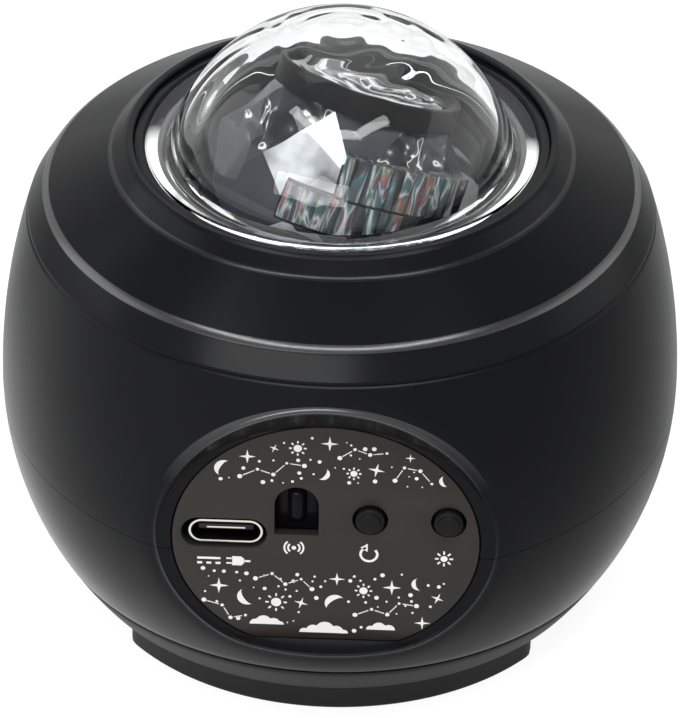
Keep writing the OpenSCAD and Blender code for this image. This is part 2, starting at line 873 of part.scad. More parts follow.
module prism_tiers() color(clear_colour)
    leaned() {
        translate([0, 0, tier_split])
            rib_band(upper_tier + [tier_end, -tier_end], upper_tier_h);
        translate([0, 0, tier_split - lower_tier_h])
            rib_band(lower_tier + [tier_end, -tier_end], lower_tier_h - tier_gap);
    }

module drum_cap() color(shell_colour)
    leaned()
        difference() {
            cylinder_at(cap_r, crystal_h, crystal_h + cap_h);
            cylinder_at(cap_r - cap_wall, crystal_h - 1, crystal_h + cap_h + 1);
            cylinder_at(cap_r - cap_wall / 2, crystal_h + cap_h - 1.6, crystal_h + cap_h + 1);
        }

module ripple_disc() color(clear_colour)
    leaned()
        cylinder_at(cap_r - cap_wall / 2 - fit_gap, crystal_h + cap_h - 1.6, crystal_h + cap_h - 0.4);

// ---- Motor ----

module motor_gearbox() color("goldenrod")
    difference() {
        translate([-gearbox_w / 2, motor_y - gearbox_d / 2, sink_z - gearbox_l])
            cube([gearbox_w, gearbox_d, gearbox_l]);
        translate([0, motor_y, sink_z - 5])
            cylinder(r = shaft_d / 2 + fit_gap, h = 6);
        for (s = [-1, 1])
            translate([s * gearbox_w * 0.36, motor_y, sink_z - 3])
                cylinder(r = 0.85, h = 4);
    }

module motor_can() color("silver")
    intersection() {
        translate([0, motor_y, sink_z - gearbox_l - motor_l])
            cylinder(d = motor_d, h = motor_l);
        translate([-motor_d, motor_y - gearbox_d / 2, 0])
            cube([2 * motor_d, gearbox_d, body_d]);
    }

module motor_terminals() color("gold")
    for (s = [-1, 1])
        translate([s * 3 - 0.8, motor_y - 0.25, sink_z - gearbox_l - motor_l - 1.6])
            cube([1.6, 0.5, 1.6]);

module motor_screws() color("silver")
    for (s = [-1, 1])
        translate([s * gearbox_w * 0.36, motor_y, deck_z - 1])
            rotate([180, 0, 0])
                difference() {
                    union() {
                        translate([0, 0, -0.9])
                            cylinder(r = 1.5, h = 0.9);
                        cylinder(r = 0.8, h = 3);
                    }
                    translate([-1, -0.2, -1])
                        cube([2, 0.4, 0.5]);
                }

module motor_shaft() color("silver")
    translate([0, motor_y, sink_z - 4.6])
        cylinder(d = shaft_d, h = gear_top + 0.4 - sink_z + 4.6);

module motor_pinion() color([0.9, 0.88, 0.82])
    translate([0, motor_y, gear_z])
        difference() {
            rotate(270)
                linear_extrude(gear_t)
                    polygon(gear_outline(pinion_teeth));
            translate([0, 0, -1])
                cylinder(d = shaft_d, h = gear_t + 2);
        }

// ---- Circuit board ----

module main_board() color([0.05, 0.3, 0.14]) {
    half = [
        [board_tab_w / 2, -board_front],
        [board_tab_w / 2, -board_neck],
        [board_front_w / 2, -board_neck],
        [board_front_w / 2, -board_step],
        [board_w / 2, -board_step],
        [board_w / 2, -board_back]];
    difference() {
        translate([0, 0, board_top - board_t])
            linear_extrude(board_t)
                polygon(concat(half, [for (i = [1 : len(half)])
                    [-half[len(half) - i][0], half[len(half) - i][1]]]));
        for (x = [-board_hole_x, board_hole_x], y = [-board_hole_front, -board_hole_back])
            translate([x, y, board_top - board_t - 1])
                cylinder(r = board_hole_r, h = board_t + 2);
    }
}

module board_screws() color("silver")
    for (x = [-board_hole_x, board_hole_x], y = [-board_hole_front, -board_hole_back])
        translate([x, y, board_top])
            rotate([180, 0, 0])
                screw(7);

module control_chips() color([0.12, 0.12, 0.13]) {
    translate([chip_row_x, -chip_row_y, board_top])
        cube(MAIN_CHIP);
    translate([chip_row_x - 2 - DRIVER_CHIP[0], -chip_row_y, board_top])
        cube(DRIVER_CHIP);
}

module board_capacitors() color([0.75, 0.76, 0.78])
    for (x = [-board_cap_x, board_cap_x])
        translate([x, -board_cap_y, board_top])
            cylinder(r = board_cap_r, h = board_cap_h);

module usb_shell() color("silver")
    translate([usb_x, -usb_front + usb_l, usb_z])
        rotate([90, 0, 0])
            difference() {
                linear_extrude(usb_l)
                    stadium(usb_w, usb_t);
                translate([0, 0, 1])
                    linear_extrude(usb_l)
                        stadium(usb_w - 2 * usb_wall, usb_t - 2 * usb_wall);
            }

module usb_tongue() color([0.1, 0.1, 0.11])
    translate([usb_x - 3.3, -usb_front + 0.9, usb_z - 0.35])
        cube([6.6, usb_l - 1.9, 0.7]);

module ir_receiver() color([0.08, 0.08, 0.1]) {
    y_face = panel_back - 1;
    z0 = board_top + 1;
    translate([ir_x - 2.5, -y_face, z0])
        cube([5, 2.6, 7]);
    translate([ir_x, -y_face, z0 + 2.6])
        cylinder(r = 1.15, h = 2.6);
    for (z = [z0 + 2.6, z0 + 5.2])
        translate([ir_x, -y_face, z])
            sphere(r = 1.15);
}

module ir_pins() color("silver")
    for (i = [-1, 0, 1])
        translate([ir_x + i * 1.6 - 0.25, -panel_back + 1 + 1.1, board_top])
            cube([0.5, 0.5, 1]);

module switch_body(x) {
    difference() {
        translate([x - switch_w / 2, -switch_front, board_top])
            cube([switch_w, switch_t, switch_h]);
        translate([x, -switch_front + stem_bore, button_z])
            rotate([90, 0, 0])
                cylinder(d = stem_d + 0.2, h = stem_bore + 1);
    }
}

module motor_switch() color([0.1, 0.1, 0.1])
    switch_body(motor_button_x);

module mode_switch() color([0.1, 0.1, 0.1])
    switch_body(mode_button_x);

module stem(x) {
    translate([x, -stem_end, button_z])
        rotate([90, 0, 0]) {
            cylinder(d = stem_d, h = panel_y + stem_proud - stem_end - stem_edge);
            cylinder(d = stem_d - 2 * stem_edge, h = panel_y + stem_proud - stem_end);
        }
}

module motor_button() color([0.12, 0.12, 0.13])
    stem(motor_button_x);

module mode_button() color([0.12, 0.12, 0.13])
    stem(mode_button_x);

// Lead housing with two latch windows; the leads meet its side or its top
module connector(x, y) {
    translate([x - connector_w / 2, y - connector_d / 2, board_top])
        difference() {
            cube([connector_w, connector_d, connector_h]);
            for (s = [0.25, 0.75])
                translate([s * connector_w - 0.4, -1, connector_h / 2])
                    cube([0.8, 2, 1]);
        }
}

module motor_connector() color([0.93, 0.92, 0.88])
    connector(motor_plug[0], motor_plug[1]);

module led_connector() color([0.93, 0.92, 0.88])
    connector(led_plug[0], led_plug[1]);

// ---- Leads: round tubes along hand-chosen points ----

function bend(p, i, t) =
    let (a = p[max(i - 1, 0)], b = p[i], c = p[i + 1], d = p[min(i + 2, len(p) - 1)])
    0.5 * ((2 * b) + (c - a) * t + (2 * a - 5 * b + 4 * c - d) * t * t
        + (3 * b - a - 3 * c + d) * t * t * t);
function smooth(p, n) =
    concat([for (i = [0 : len(p) - 2], j = [0 : n - 1]) bend(p, i, j / n)], [p[len(p) - 1]]);

// The tube's rings are turned by the X axis, along which no lead runs
module lead(points, d) {
    path = smooth(points, 4);
    m = len(path);
    n = 8;
    rings = [for (i = [0 : m - 1])
        let (t = unit(path[min(i + 1, m - 1)] - path[max(i - 1, 0)]),
            u = unit(cross([1, 0, 0], t)), v = cross(t, u))
        for (k = [0 : n - 1])
            path[i] + d / 2 * (cos(360 * k / n) * u + sin(360 * k / n) * v)];
    polyhedron(rings, concat(
        [[for (k = [0 : n - 1]) n - 1 - k]],
        [[for (k = [0 : n - 1]) (m - 1) * n + k]],
        [for (i = [0 : m - 2], k = [0 : n - 1])
            [i * n + k, i * n + (k + 1) % n, (i + 1) * n + (k + 1) % n, (i + 1) * n + k]]),
        convexity = 10);
}

module motor_leads() color("crimson")
    lead(MOTOR_LEAD, motor_lead_d);

module led_leads() color("ivory")
    lead(LED_LEAD, led_lead_d);

upper_shell();
lower_shell();
foot_base();
foot_pads();
base_screws();
shell_screws();
control_panel();
outer_dome();
dome_retainer();
optics_deck();
deck_screws();
led_heatsink();
heatsink_screws();
led_board();
led_chips();
led_lens();
rotor_gear();
rotor_clip();
crystal_drum();
prism_tiers();
drum_cap();
ripple_disc();
motor_can();
motor_gearbox();
motor_screws();
motor_shaft();
motor_pinion();
motor_terminals();
main_board();
board_screws();
control_chips();
board_capacitors();
usb_shell();
usb_tongue();
ir_receiver();
ir_pins();
motor_switch();
mode_switch();
motor_button();
mode_button();
motor_connector();
led_connector();
motor_leads();
led_leads();
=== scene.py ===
"""Ball-shaped night sky projector: the looks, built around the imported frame.
The scene is in metres, and the sizes of the part's pieces are in millimetres."""

import json
import random
from math import acos, atan2, cos, degrees, exp, hypot, log, pi, radians, sin, sqrt, tan

import bmesh
import bpy
from mathutils import Matrix, Vector

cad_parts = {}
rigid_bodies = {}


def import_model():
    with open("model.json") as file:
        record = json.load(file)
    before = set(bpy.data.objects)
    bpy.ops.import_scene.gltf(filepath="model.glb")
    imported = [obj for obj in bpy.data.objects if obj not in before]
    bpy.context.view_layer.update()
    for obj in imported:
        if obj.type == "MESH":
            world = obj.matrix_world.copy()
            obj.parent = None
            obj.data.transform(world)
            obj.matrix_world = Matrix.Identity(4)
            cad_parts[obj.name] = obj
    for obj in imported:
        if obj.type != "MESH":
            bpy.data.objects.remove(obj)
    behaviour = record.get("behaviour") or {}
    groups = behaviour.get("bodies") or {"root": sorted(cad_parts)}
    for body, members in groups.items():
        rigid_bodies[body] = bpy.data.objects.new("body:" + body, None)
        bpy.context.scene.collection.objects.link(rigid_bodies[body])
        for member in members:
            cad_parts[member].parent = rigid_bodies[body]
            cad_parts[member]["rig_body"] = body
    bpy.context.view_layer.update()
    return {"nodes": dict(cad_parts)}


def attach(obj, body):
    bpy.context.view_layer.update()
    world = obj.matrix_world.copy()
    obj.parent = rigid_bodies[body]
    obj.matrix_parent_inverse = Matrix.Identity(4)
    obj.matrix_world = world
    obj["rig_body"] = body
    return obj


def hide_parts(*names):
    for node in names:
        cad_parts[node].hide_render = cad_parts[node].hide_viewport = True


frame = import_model()
MM = 0.001


def round_point(r, z, a):
    """The point r from the Z axis at height z, at angle a from the front towards the right."""
    return r * sin(a), -r * cos(a), z


def polar(r, a, x=0, y=0):
    """The point r from (x, y) at angle a."""
    return x + r * cos(a), y + r * sin(a)


def full_turn(count):
    """Angles evenly round a circle."""
    return [2 * pi * i / count for i in range(count)]


def stand(name, data):
    """A new object in the scene."""
    obj = bpy.data.objects.new(name, data)
    bpy.context.scene.collection.objects.link(obj)
    return obj


# ---- Camera ----

PHOTO_SIZE = (680, 718)
FOCAL_PIXELS = 8129.0
SENSOR_MM = 36.0
CAMERA_DISTANCE = 1.0
CAMERA_HEIGHT_ANGLE = radians(34.06)
CAMERA_SIDE_ANGLE = radians(2.4)
CAMERA_ROLL = radians(0.55)
ORBIT_POINT = Vector((0, 0, 33 * MM))
AIM_POINT = Vector((0, 0, 31.07 * MM))


def add_camera():
    """The photograph's viewpoint: a long lens one metre away, a third of the way up."""
    data = bpy.data.cameras.new("camera")
    data.sensor_width = SENSOR_MM
    data.lens = SENSOR_MM * FOCAL_PIXELS / max(PHOTO_SIZE)
    data.clip_start, data.clip_end = 0.1, 20
    camera = stand("camera", data)
    back = round_point(cos(CAMERA_HEIGHT_ANGLE), sin(CAMERA_HEIGHT_ANGLE), CAMERA_SIDE_ANGLE)
    camera.location = ORBIT_POINT + CAMERA_DISTANCE * Vector(back)
    look_at = (AIM_POINT - camera.location).to_track_quat("-Z", "Y").to_matrix()
    camera.rotation_euler = (look_at @ Matrix.Rotation(CAMERA_ROLL, 3, "Z")).to_euler()
    bpy.context.scene.camera = camera


# ---- Materials: one class for values on a surface, one for a material ----

class Field:
    """A value that varies over a surface. Each operator adds its Math node."""

    def __init__(self, look, socket):
        self.look = look
        self.socket = socket

    def math(self, operation, *others):
        """A Math node on this value and the others."""
        return self.look.math(operation, self, *others)

    def __add__(self, other):
        return self.math("ADD", other)

    def __sub__(self, other):
        return self.math("SUBTRACT", other)

    def __rsub__(self, other):
        return self.look.math("SUBTRACT", other, self)

    def __mul__(self, other):
        return self.math("MULTIPLY", other)

    def held(self, low, high):
        """This value, kept from low to high."""
        return self.math("MAXIMUM", low).math("MINIMUM", high)

    def near(self, level, reach):
        """1 where this value lies within reach of level, and 0 elsewhere."""
        return self.math("COMPARE", level, reach)

    __radd__ = __add__
    __rmul__ = __mul__


SHADOW_TINT = (0.92, 0.94, 0.95)  # what clear pieces leave of a lamp's light


class Look:
    """A material, or the world, and the nodes that make its finish."""

    def __init__(self, name, owners=None):
        self.material = (bpy.data.materials if owners is None else owners).new(name)
        self.material.use_nodes = True
        self.tree = self.material.node_tree
        self.tree.nodes.clear()

    def node(self, kind, settings=None, sockets=None, output=0):
        """Adds a node: its settings first, then its sockets' values or links."""
        made = self.tree.nodes.new("ShaderNode" + kind)
        for key, value in (settings or {}).items():
            if key == "stops":
                ramp = made.color_ramp
                while len(ramp.elements) < len(value):
                    ramp.elements.new(1.0)
                for element, (place, colour) in zip(ramp.elements, value):
                    element.position = place
                    element.color = (*colour, 1)
            else:
                setattr(made, key, value)
        for key, value in (sockets or {}).items():
            if isinstance(value, Field):
                self.tree.links.new(value.socket, made.inputs[key])
            else:
                made.inputs[key].default_value = value
        return Field(self, made.outputs[output])

    def math(self, operation, *values):
        """A Math node on numbers and varying values."""
        return self.node("Math", {"operation": operation}, dict(enumerate(values)))

    def place(self, stretch=(1, 1, 1)):
        """The point on the piece, in metres, stretched along its axes."""
        point = self.node("TexCoord", output="Object")
        return self.node("Mapping", {"vector_type": "POINT"}, {"Vector": point, "Scale": stretch})

    def along(self, axis):
        """The distance along one of the piece's axes, in metres."""
        return self.node("SeparateXYZ", {}, {"Vector": self.place()}, output=axis)

    def noise(self, grain, detail=2.0, stretch=(1, 1, 1), wander=0.0):
        """Soft noise from 0 to 1, in patches about as wide as grain, in millimetres."""
        return self.node("TexNoise", {"noise_dimensions": "3D"},
                         {"Vector": self.place(stretch), "Scale": 1 / (grain * MM),
                          "Detail": detail, "Distortion": wander}, output="Fac")

    def mix(self, share, first, second):
        """The first colour where share is 0 and the second where it is 1."""
        first, second = (c if isinstance(c, Field) else (*c, 1) for c in (first, second))
        return self.node("Mix", {"data_type": "RGBA"}, {0: share, 6: first, 7: second}, output=2)

    def ramp(self, value, stops):
        """Colours at their places from 0 to 1, blended between."""
        return self.node("ValToRGB", {"stops": stops}, {"Fac": value}, output="Color")

    def bump(self, height, depth):
        """A Normal from a height field; depth is the relief in millimetres."""
        sockets = {"Height": height, "Distance": depth * MM, "Strength": 1.0}
        return self.node("Bump", {}, sockets, output="Normal")

    def ways(self):
        """1 for what the camera sees straight, mirrored and through glass, and 0 for other light."""
        return [self.node("LightPath", output=f"Is {kind} Ray")
                for kind in ("Camera", "Glossy", "Transmission")]

    def surface(self, sockets, see_through_shadow=False):
        """Joins a Principled shader to the output. Clear pieces let lamps shine through them."""
        shader = self.node("BsdfPrincipled", {}, sockets)
        if see_through_shadow:
            shadow = self.node("LightPath", output="Is Shadow Ray")
            clear = self.node("BsdfTransparent", {}, {"Color": (*SHADOW_TINT, 1)})
            shader = self.node("MixShader", {}, {0: shadow, 1: shader, 2: clear})
        return self.output(shader)

    def output(self, shader, kind="OutputMaterial"):
        """Joins the last shader to the material's or the world's output."""
        out = self.tree.nodes.new("ShaderNode" + kind)
        self.tree.links.new(shader.socket, out.inputs["Surface"])
        return self


def shaded(colour, share, lift=0.0):
    """A lighter or darker colour."""
    return tuple(min(1.0, c * share + lift) for c in colour)


def moulded(name, colour, roughness, grain, depth, patchy, specular=0.35, polished=None):
    """Moulded plastic: spark-eroded grain, faint flow clouds in colour and gloss. The function
    polished gives the share of gloss over the piece."""
    look = Look(name)
    clouds = look.noise(14, 3.0, wander=0.4)
    sparks = look.noise(grain)
    fine = look.noise(grain / 4, 1.0)
    shade = clouds * patchy + sparks * 0.25 + (1 - patchy - 0.25) * 0.5
    return look.surface({
        "Base Color": look.mix(shade, shaded(colour, 0.75), shaded(colour, 1.25, 0.002)),
        "Roughness": roughness - 0.05 + clouds * 0.06 + sparks * 0.05,
        "Specular IOR Level": specular,
        "Coat Weight": polished(look) if polished else 0.0,
        "Coat Roughness": 0.24, "Coat IOR": 1.7,
        "Normal": look.bump(sparks * 0.7 + fine * 0.3, depth)})


def metal(name, colour, roughness):
    """Drawn or brushed metal: fine lines one way, duller patches."""
    look = Look(name)
    lines = look.noise(0.5, 3.0, stretch=(1, 1, 12))
    patches = look.noise(2.5)
    return look.surface({
        "Base Color": look.mix(patches * 0.6 + lines * 0.4, shaded(colour, 0.7), shaded(colour, 1.1)),
        "Metallic": 1.0,
        "Roughness": roughness - 0.06 + patches * 0.12 + lines * 0.08,
        "Normal": look.bump(lines, 0.004)})


def clear(name, tint, index=1.49, waviness=0.01, wave=4):
    """Clear polished moulding, with a little waviness."""
    look = Look(name)
    waves = look.noise(wave, 1.0)
    dust = look.noise(0.8)
    return look.surface({
        "Base Color": look.mix(dust, tint, shaded(tint, 1.03)),
        "Transmission Weight": 1.0,
        "IOR": index,
        "Specular IOR Level": 0.3,
        "Roughness": 0.01 + dust * 0.006,
        "Normal": look.bump(waves, waviness)}, see_through_shadow=True)


# ---- Sizes in millimetres, as the CAD source has them ----

BODY_R, MID_Z, SEAM_Z = 41.5, 30.4, 27.3
SIDE_H, SIDE_LEAN = 23.1, 3.4
SIDE_R = (SIDE_H ** 2 + SIDE_LEAN ** 2) / (2 * SIDE_LEAN)
SHOULDER, RIM, COLLAR_FOOT = (38.1, 53.5), (36.2, 56.8), (28.0, 61.5)
LIP_R, LIP_Z, BORE_R, SEAT_Z, HOLE_R = 26.4, 63.5, 25.25, 61.4, 21.66
DOME_R, DOME_Z, DOME_WALL, DOME_SKIRT = 21.7, 57.0, 1.5, 1.2
FLANGE_R, FLANGE_FOOT_R, FLANGE_IN_R, FLANGE_T, FLANGE_FOOT_T = 23.7, 24.4, 22.3, 1.6, 0.8
FOOT_R, FOOT_SIDE, FOOT_Z, FOOT_TOP, FOOT_RISE, BASE_Z = 31.0, 24.6, 4.6, 9.2, 0.4, 9.6
SCREW_AT, SCREW_HEAD_R, SCREW_HOLE_R, SCREW_SEAT_Z = 15, 3.1, 1.6, 6.6
PAD_AT, PAD_R, PAD_TOP = 19.4, 4.05, 1.4
PANEL_Y, PANEL_Z, PANEL_T = 36.0, 29.15, 1.2
PANEL_W, PANEL_H, PANEL_CUT = 18.4, 16.4, 14.4  # from the panel's centre to its edges
PANEL_GAP = 0.15
SOCKET_X, SOCKET_Z, SOCKET_W, SOCKET_T = -12.0, 29.83, 8.94, 3.26
SLOT_GAP, SLOT_SHIFT = 0.5, 0.2
WINDOW_X, WINDOW_R, WINDOW_Z, WINDOW_ARCH_Z = -3.5, 2.65, 29.9, 34.15
BUTTONS = {"motor_button": 5.3, "mode_button": 14.7}
BUTTON_Z, BUTTON_HOLE_R = 32.4, 2.15


def ball(z):
    """Radius of the body's side at height z: a sphere below its widest level, a longer arc above."""
    if z < MID_Z:
        return sqrt(BODY_R ** 2 - (z - MID_Z) ** 2)
    return BODY_R - SIDE_R + sqrt(SIDE_R ** 2 - (z - MID_Z) ** 2)


def on_ball(angle, z):
    """The point on the body's side at height z, angle degrees from the front towards the right."""
    return Vector(round_point(ball(z), z, radians(angle)))


def curve(start, corner, end, steps):
    """Points on the curve that rounds off a corner."""
    return [start * (1 - t) ** 2 + corner * 2 * t * (1 - t) + end * t * t
            for t in (k / steps for k in range(steps + 1))]


def rounded(corners, steps=5):
    """A profile of (radius, height) points from corners (radius, height, rounding)."""
    profile = []
    for i, (r, z, rounding) in enumerate(corners):
        here = Vector((r, z))
        if not rounding:
            profile.append(here)
            continue
        back = Vector(corners[i - 1][:2]) - here
        ahead = Vector(corners[(i + 1) % len(corners)][:2]) - here
        reach = min(rounding / tan(back.angle(ahead) / 2), 0.45 * back.length, 0.45 * ahead.length)
        profile += curve(here + back.normalized() * reach, here, here + ahead.normalized() * reach, steps)
    return profile


# ---- Pieces ----

def woven(rings, flip=False, close=False):
    """Points and quads of equally long rings, each joined to the next."""
    count = len(rings[0])
    points = [Vector(p) for ring in rings for p in ring]
    faces = []
    for row in range(len(rings) if close else len(rings) - 1):
        upper = (row + 1) % len(rings)
        for i in range(count):
            j = (i + 1) % count
            face = (row * count + i, row * count + j, upper * count + j, upper * count + i)
            faces.append(face[::-1] if flip else face)
    return points, faces


def solid(rings):
    """A closed shape: woven rings, with a face over the first and one over the last."""
    points, faces = woven(rings)
    count = len(rings[0])
    ends = [tuple(range(count))[::-1], tuple(range(len(points) - count, len(points)))]
    return points, faces + ends


def join(*parts):
    """Several (points, faces) as one."""
    points, faces = [], []
    for more_points, more_faces in parts:
        start = len(points)
        points += more_points
        faces += [tuple(start + i for i in face) for face in more_faces]
    return points, faces


def from_points(name, shape):
    """An object from points in millimetres and their faces."""
    mesh = bpy.data.meshes.new(name)
    mesh.from_pydata([Vector(p) * MM for p in shape[0]], [], shape[1])
    return stand(name, mesh)


def new_piece(name, shape, look, replaces=(), body="housing", place=None):
    """A piece from points and faces, on its CAD body."""
    obj = from_points(name, shape)
    edit(obj, lambda bm: bmesh.ops.remove_doubles(bm, verts=bm.verts, dist=0.002 * MM))
    dress(obj, look)
    if place:
        obj.matrix_world = place
    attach(obj, body)
    if replaces:
        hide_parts(*replaces)
    return obj


def edit(obj, change):
    """Runs one change on a piece's mesh."""
    bm = bmesh.new()
    bm.from_mesh(obj.data)
    change(bm)
    bm.to_mesh(obj.data)
    bm.free()


def face_outward(obj):
    """Turns a closed piece's faces outward."""
    edit(obj, lambda bm: bmesh.ops.recalc_face_normals(bm, faces=bm.faces))


def dress(obj, *looks):
    """Gives a piece its materials."""
    obj.data.materials.clear()
    for look in looks:
        obj.data.materials.append(look.material)


def soften(obj, crease):
    """Smooth shading that keeps edges sharper than crease degrees."""
    obj.data.polygons.foreach_set("use_smooth", [True] * len(obj.data.polygons))
    obj.data.set_sharp_from_angle(angle=radians(crease))


def bake(obj):
    """Applies a piece's modifiers."""
    graph = bpy.context.evaluated_depsgraph_get()
    mesh = bpy.data.meshes.new_from_object(obj.evaluated_get(graph))
    obj.modifiers.clear()
    old = obj.data
    obj.data = mesh
    bpy.data.meshes.remove(old)


def bevel_edges(bm, width, crease, segments):
    """Rounds every edge sharper than crease degrees."""
    sharp = [e for e in bm.edges if len(e.link_faces) == 2
             and e.calc_face_angle(0) > radians(crease)]
    bmesh.ops.bevel(bm, geom=sharp, offset=width * MM, segments=segments, profile=0.5,
                    affect="EDGES", clamp_overlap=True)


def cut(obj, *shapes):
    """Takes closed shapes out of a piece."""
    for shape in shapes:
        tool = from_points("cutter", shape)
        face_outward(tool)
        modifier = obj.modifiers.new("cut", "BOOLEAN")
        modifier.operation, modifier.solver, modifier.object = "DIFFERENCE", "EXACT", tool
        bake(obj)
        bpy.data.objects.remove(tool)


def prism(outline, y0, y1):
    """A closed shape whose outline of (x, z) points stands upright from y0 to y1."""
    return solid([[(x, y, z) for x, z in outline] for y in (y0, y1)])


def circle(x, z, r, count, begin=0.0, turn=2 * pi):
    """Points of a circle, or of part of one."""
    return [polar(r, begin + turn * i / count, x, z) for i in range(count + (turn < 2 * pi))]


HALF_TURN = pi * 0.999  # a hair short of a half turn


def stadium(x, z, w, h):
    """Outline of a slot with round ends."""
    reach = (w - h) / 2
    return (circle(x + reach, z, h / 2, 20, -pi / 2, HALF_TURN)
            + circle(x - reach, z, h / 2, 20, pi / 2, HALF_TURN))


def well(x, y, r, z0, z1):
    """A closed upright cylinder to cut with."""
    return solid([[(*point, z) for point in circle(x, y, r, 40)] for z in (z0, z1)])


def refined(node, look, width, crease=30, segments=2):
    """Stands a piece with rounded edges and cleaned faces in a CAD node's place."""
    source = frame["nodes"][node]
    obj = stand(node + "_shape", source.data.copy())

    def change(bm):
        bmesh.ops.remove_doubles(bm, verts=bm.verts, dist=0.004 * MM)
        bmesh.ops.dissolve_limit(bm, angle_limit=radians(1.2), verts=bm.verts, edges=bm.edges)
        bevel_edges(bm, width, crease, segments)

    edit(obj, change)
    if "custom_normal" in obj.data.attributes:  # it came with the imported mesh
        obj.data.attributes.remove(obj.data.attributes["custom_normal"])
    dress(obj, look)
    soften(obj, crease)
    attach(obj, source["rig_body"])
    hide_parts(node)
    return obj


# ---- Body shells: a turned wall, with the recess woven into its front ----

FRONT = 34  # degrees to each side that the front patch takes, one column a degree
BACK_COLUMNS = 117
COLUMNS = ([-FRONT + i for i in range(2 * FRONT + 1)]
           + [FRONT + (360 - 2 * FRONT) * i / BACK_COLUMNS for i in range(1, BACK_COLUMNS)])
PATCH_Z, PATCH_STEPS = (10.8, 52.3), 42
PATCH_ROWS = [PATCH_Z[0] + (PATCH_Z[1] - PATCH_Z[0]) * i / PATCH_STEPS for i in range(PATCH_STEPS + 1)]
RECESS_RISE, RECESS_DEEP = 0.05, 7.0
SPREAD_W, SPREAD_UP, SPREAD_DOWN = 20.4, 20.9, 17.4  # about the lip's reach; it spreads the spokes
POCKET_DEEP, POCKET_EDGE, POCKET_MOUTH = 0.9, 0.12, 0.23
LIP_BEND, LIP_REACH = 0.3, 0.25  # where the lip's curve starts inside the recess and ends outside
DIP, DIP_START, DIP_REACH = 0.2, 0.1, 0.6  # the shallow trough round the recess's lip
HAIR_Z, HAIR_DEEP = 52.95, 0.2  # the fine groove under the shoulder
SHELL_WALL, SEAM_GAP, FLOOR_R = 1.1, 0.04, 28


def panel_edge(t, grow=0.0, wide=0.0, up=0.0, down=0.0, turn=0.12):
    """The panel's outline at angle t: an oval with a straight foot, as in the CAD."""
    half_w, half_h = PANEL_W + grow + wide, PANEL_H + grow
    reach = half_h + (up if sin(t) > 0 else down)
    low = PANEL_CUT + grow + down
    s = sin(t) * reach
    return half_w * cos(t), max(s, -low) + turn * log(1 + exp(-abs(s + low) / turn))


def recess_at(t, d):
    """The recess wall's point at angle t, depth d in front of the panel's face."""
    x, z = panel_edge(t, PANEL_GAP, 1.7 + 0.9 * d, 1.35 * d, 0.7 * d, 0.12 + 0.6 * d)
    return Vector((x, -PANEL_Y - d, PANEL_Z + z))


def lip_depth(t):
    """How far in front of the panel the recess meets the ball."""
    low, high = RECESS_RISE, RECESS_DEEP
    for _ in range(30):
        d = (low + high) / 2
        p = recess_at(t, d)
        if hypot(p.x, p.y) < ball(p.z):
            low = d
        else:
            high = d
    return low


def recess_spoke(angle, z):
    """Points from the panel's pocket over the lip to one point on the edge of the front patch."""
    x = ball(z) * sin(radians(angle))
    rise = z - PANEL_Z
    t = atan2(rise / (SPREAD_UP if rise > 0 else SPREAD_DOWN), x / SPREAD_W)
    d = lip_depth(t)
    near = d - min(LIP_BEND, 0.5 * (d - RECESS_RISE))
    lip = recess_at(t, d)
    lip_angle = degrees(atan2(lip.x, -lip.y))
    out = (on_ball(angle, z) - lip).length
    first = LIP_REACH / out

    def toward(share):
        """The wall's point a share of the way out from the lip, through the trough."""
        p = on_ball(lip_angle + (angle - lip_angle) * share, lip.z + (z - lip.z) * share)
        far = max(out * share - DIP_START, 0) / DIP_REACH
        inward = DIP * far * exp(1 - far) * (1 - share) / hypot(p.x, p.y)
        return Vector((p.x * (1 - inward), p.y * (1 - inward), p.z))

    pocket = [(PANEL_GAP, POCKET_DEEP), (PANEL_GAP, POCKET_EDGE), (POCKET_MOUTH, 0)]
    spoke = []
    for grow, depth in pocket:
        px, pz = panel_edge(t, grow)
        spoke.append(Vector((px, -PANEL_Y + depth, PANEL_Z + pz)))
    spoke += [recess_at(t, RECESS_RISE + (near - RECESS_RISE) * k / 8) for k in range(9)]
    spoke += curve(recess_at(t, near), lip, toward(first), 5)[1:]
    return spoke + [toward(first + (1 - first) * (k / 16) ** 1.6) for k in range(1, 17)]


def recess_patch():
    """Rings from the panel's pocket out to the edges of the wall's front patch."""
    across = range(-FRONT, FRONT + 1)
    edge = ([(FRONT, z) for z in PATCH_ROWS[:-1]] + [(a, PATCH_ROWS[-1]) for a in across[:0:-1]]
            + [(-FRONT, z) for z in PATCH_ROWS[:0:-1]] + [(a, PATCH_ROWS[0]) for a in across[:-1]])
    return woven(list(zip(*[recess_spoke(angle, z) for angle, z in edge])), flip=True)


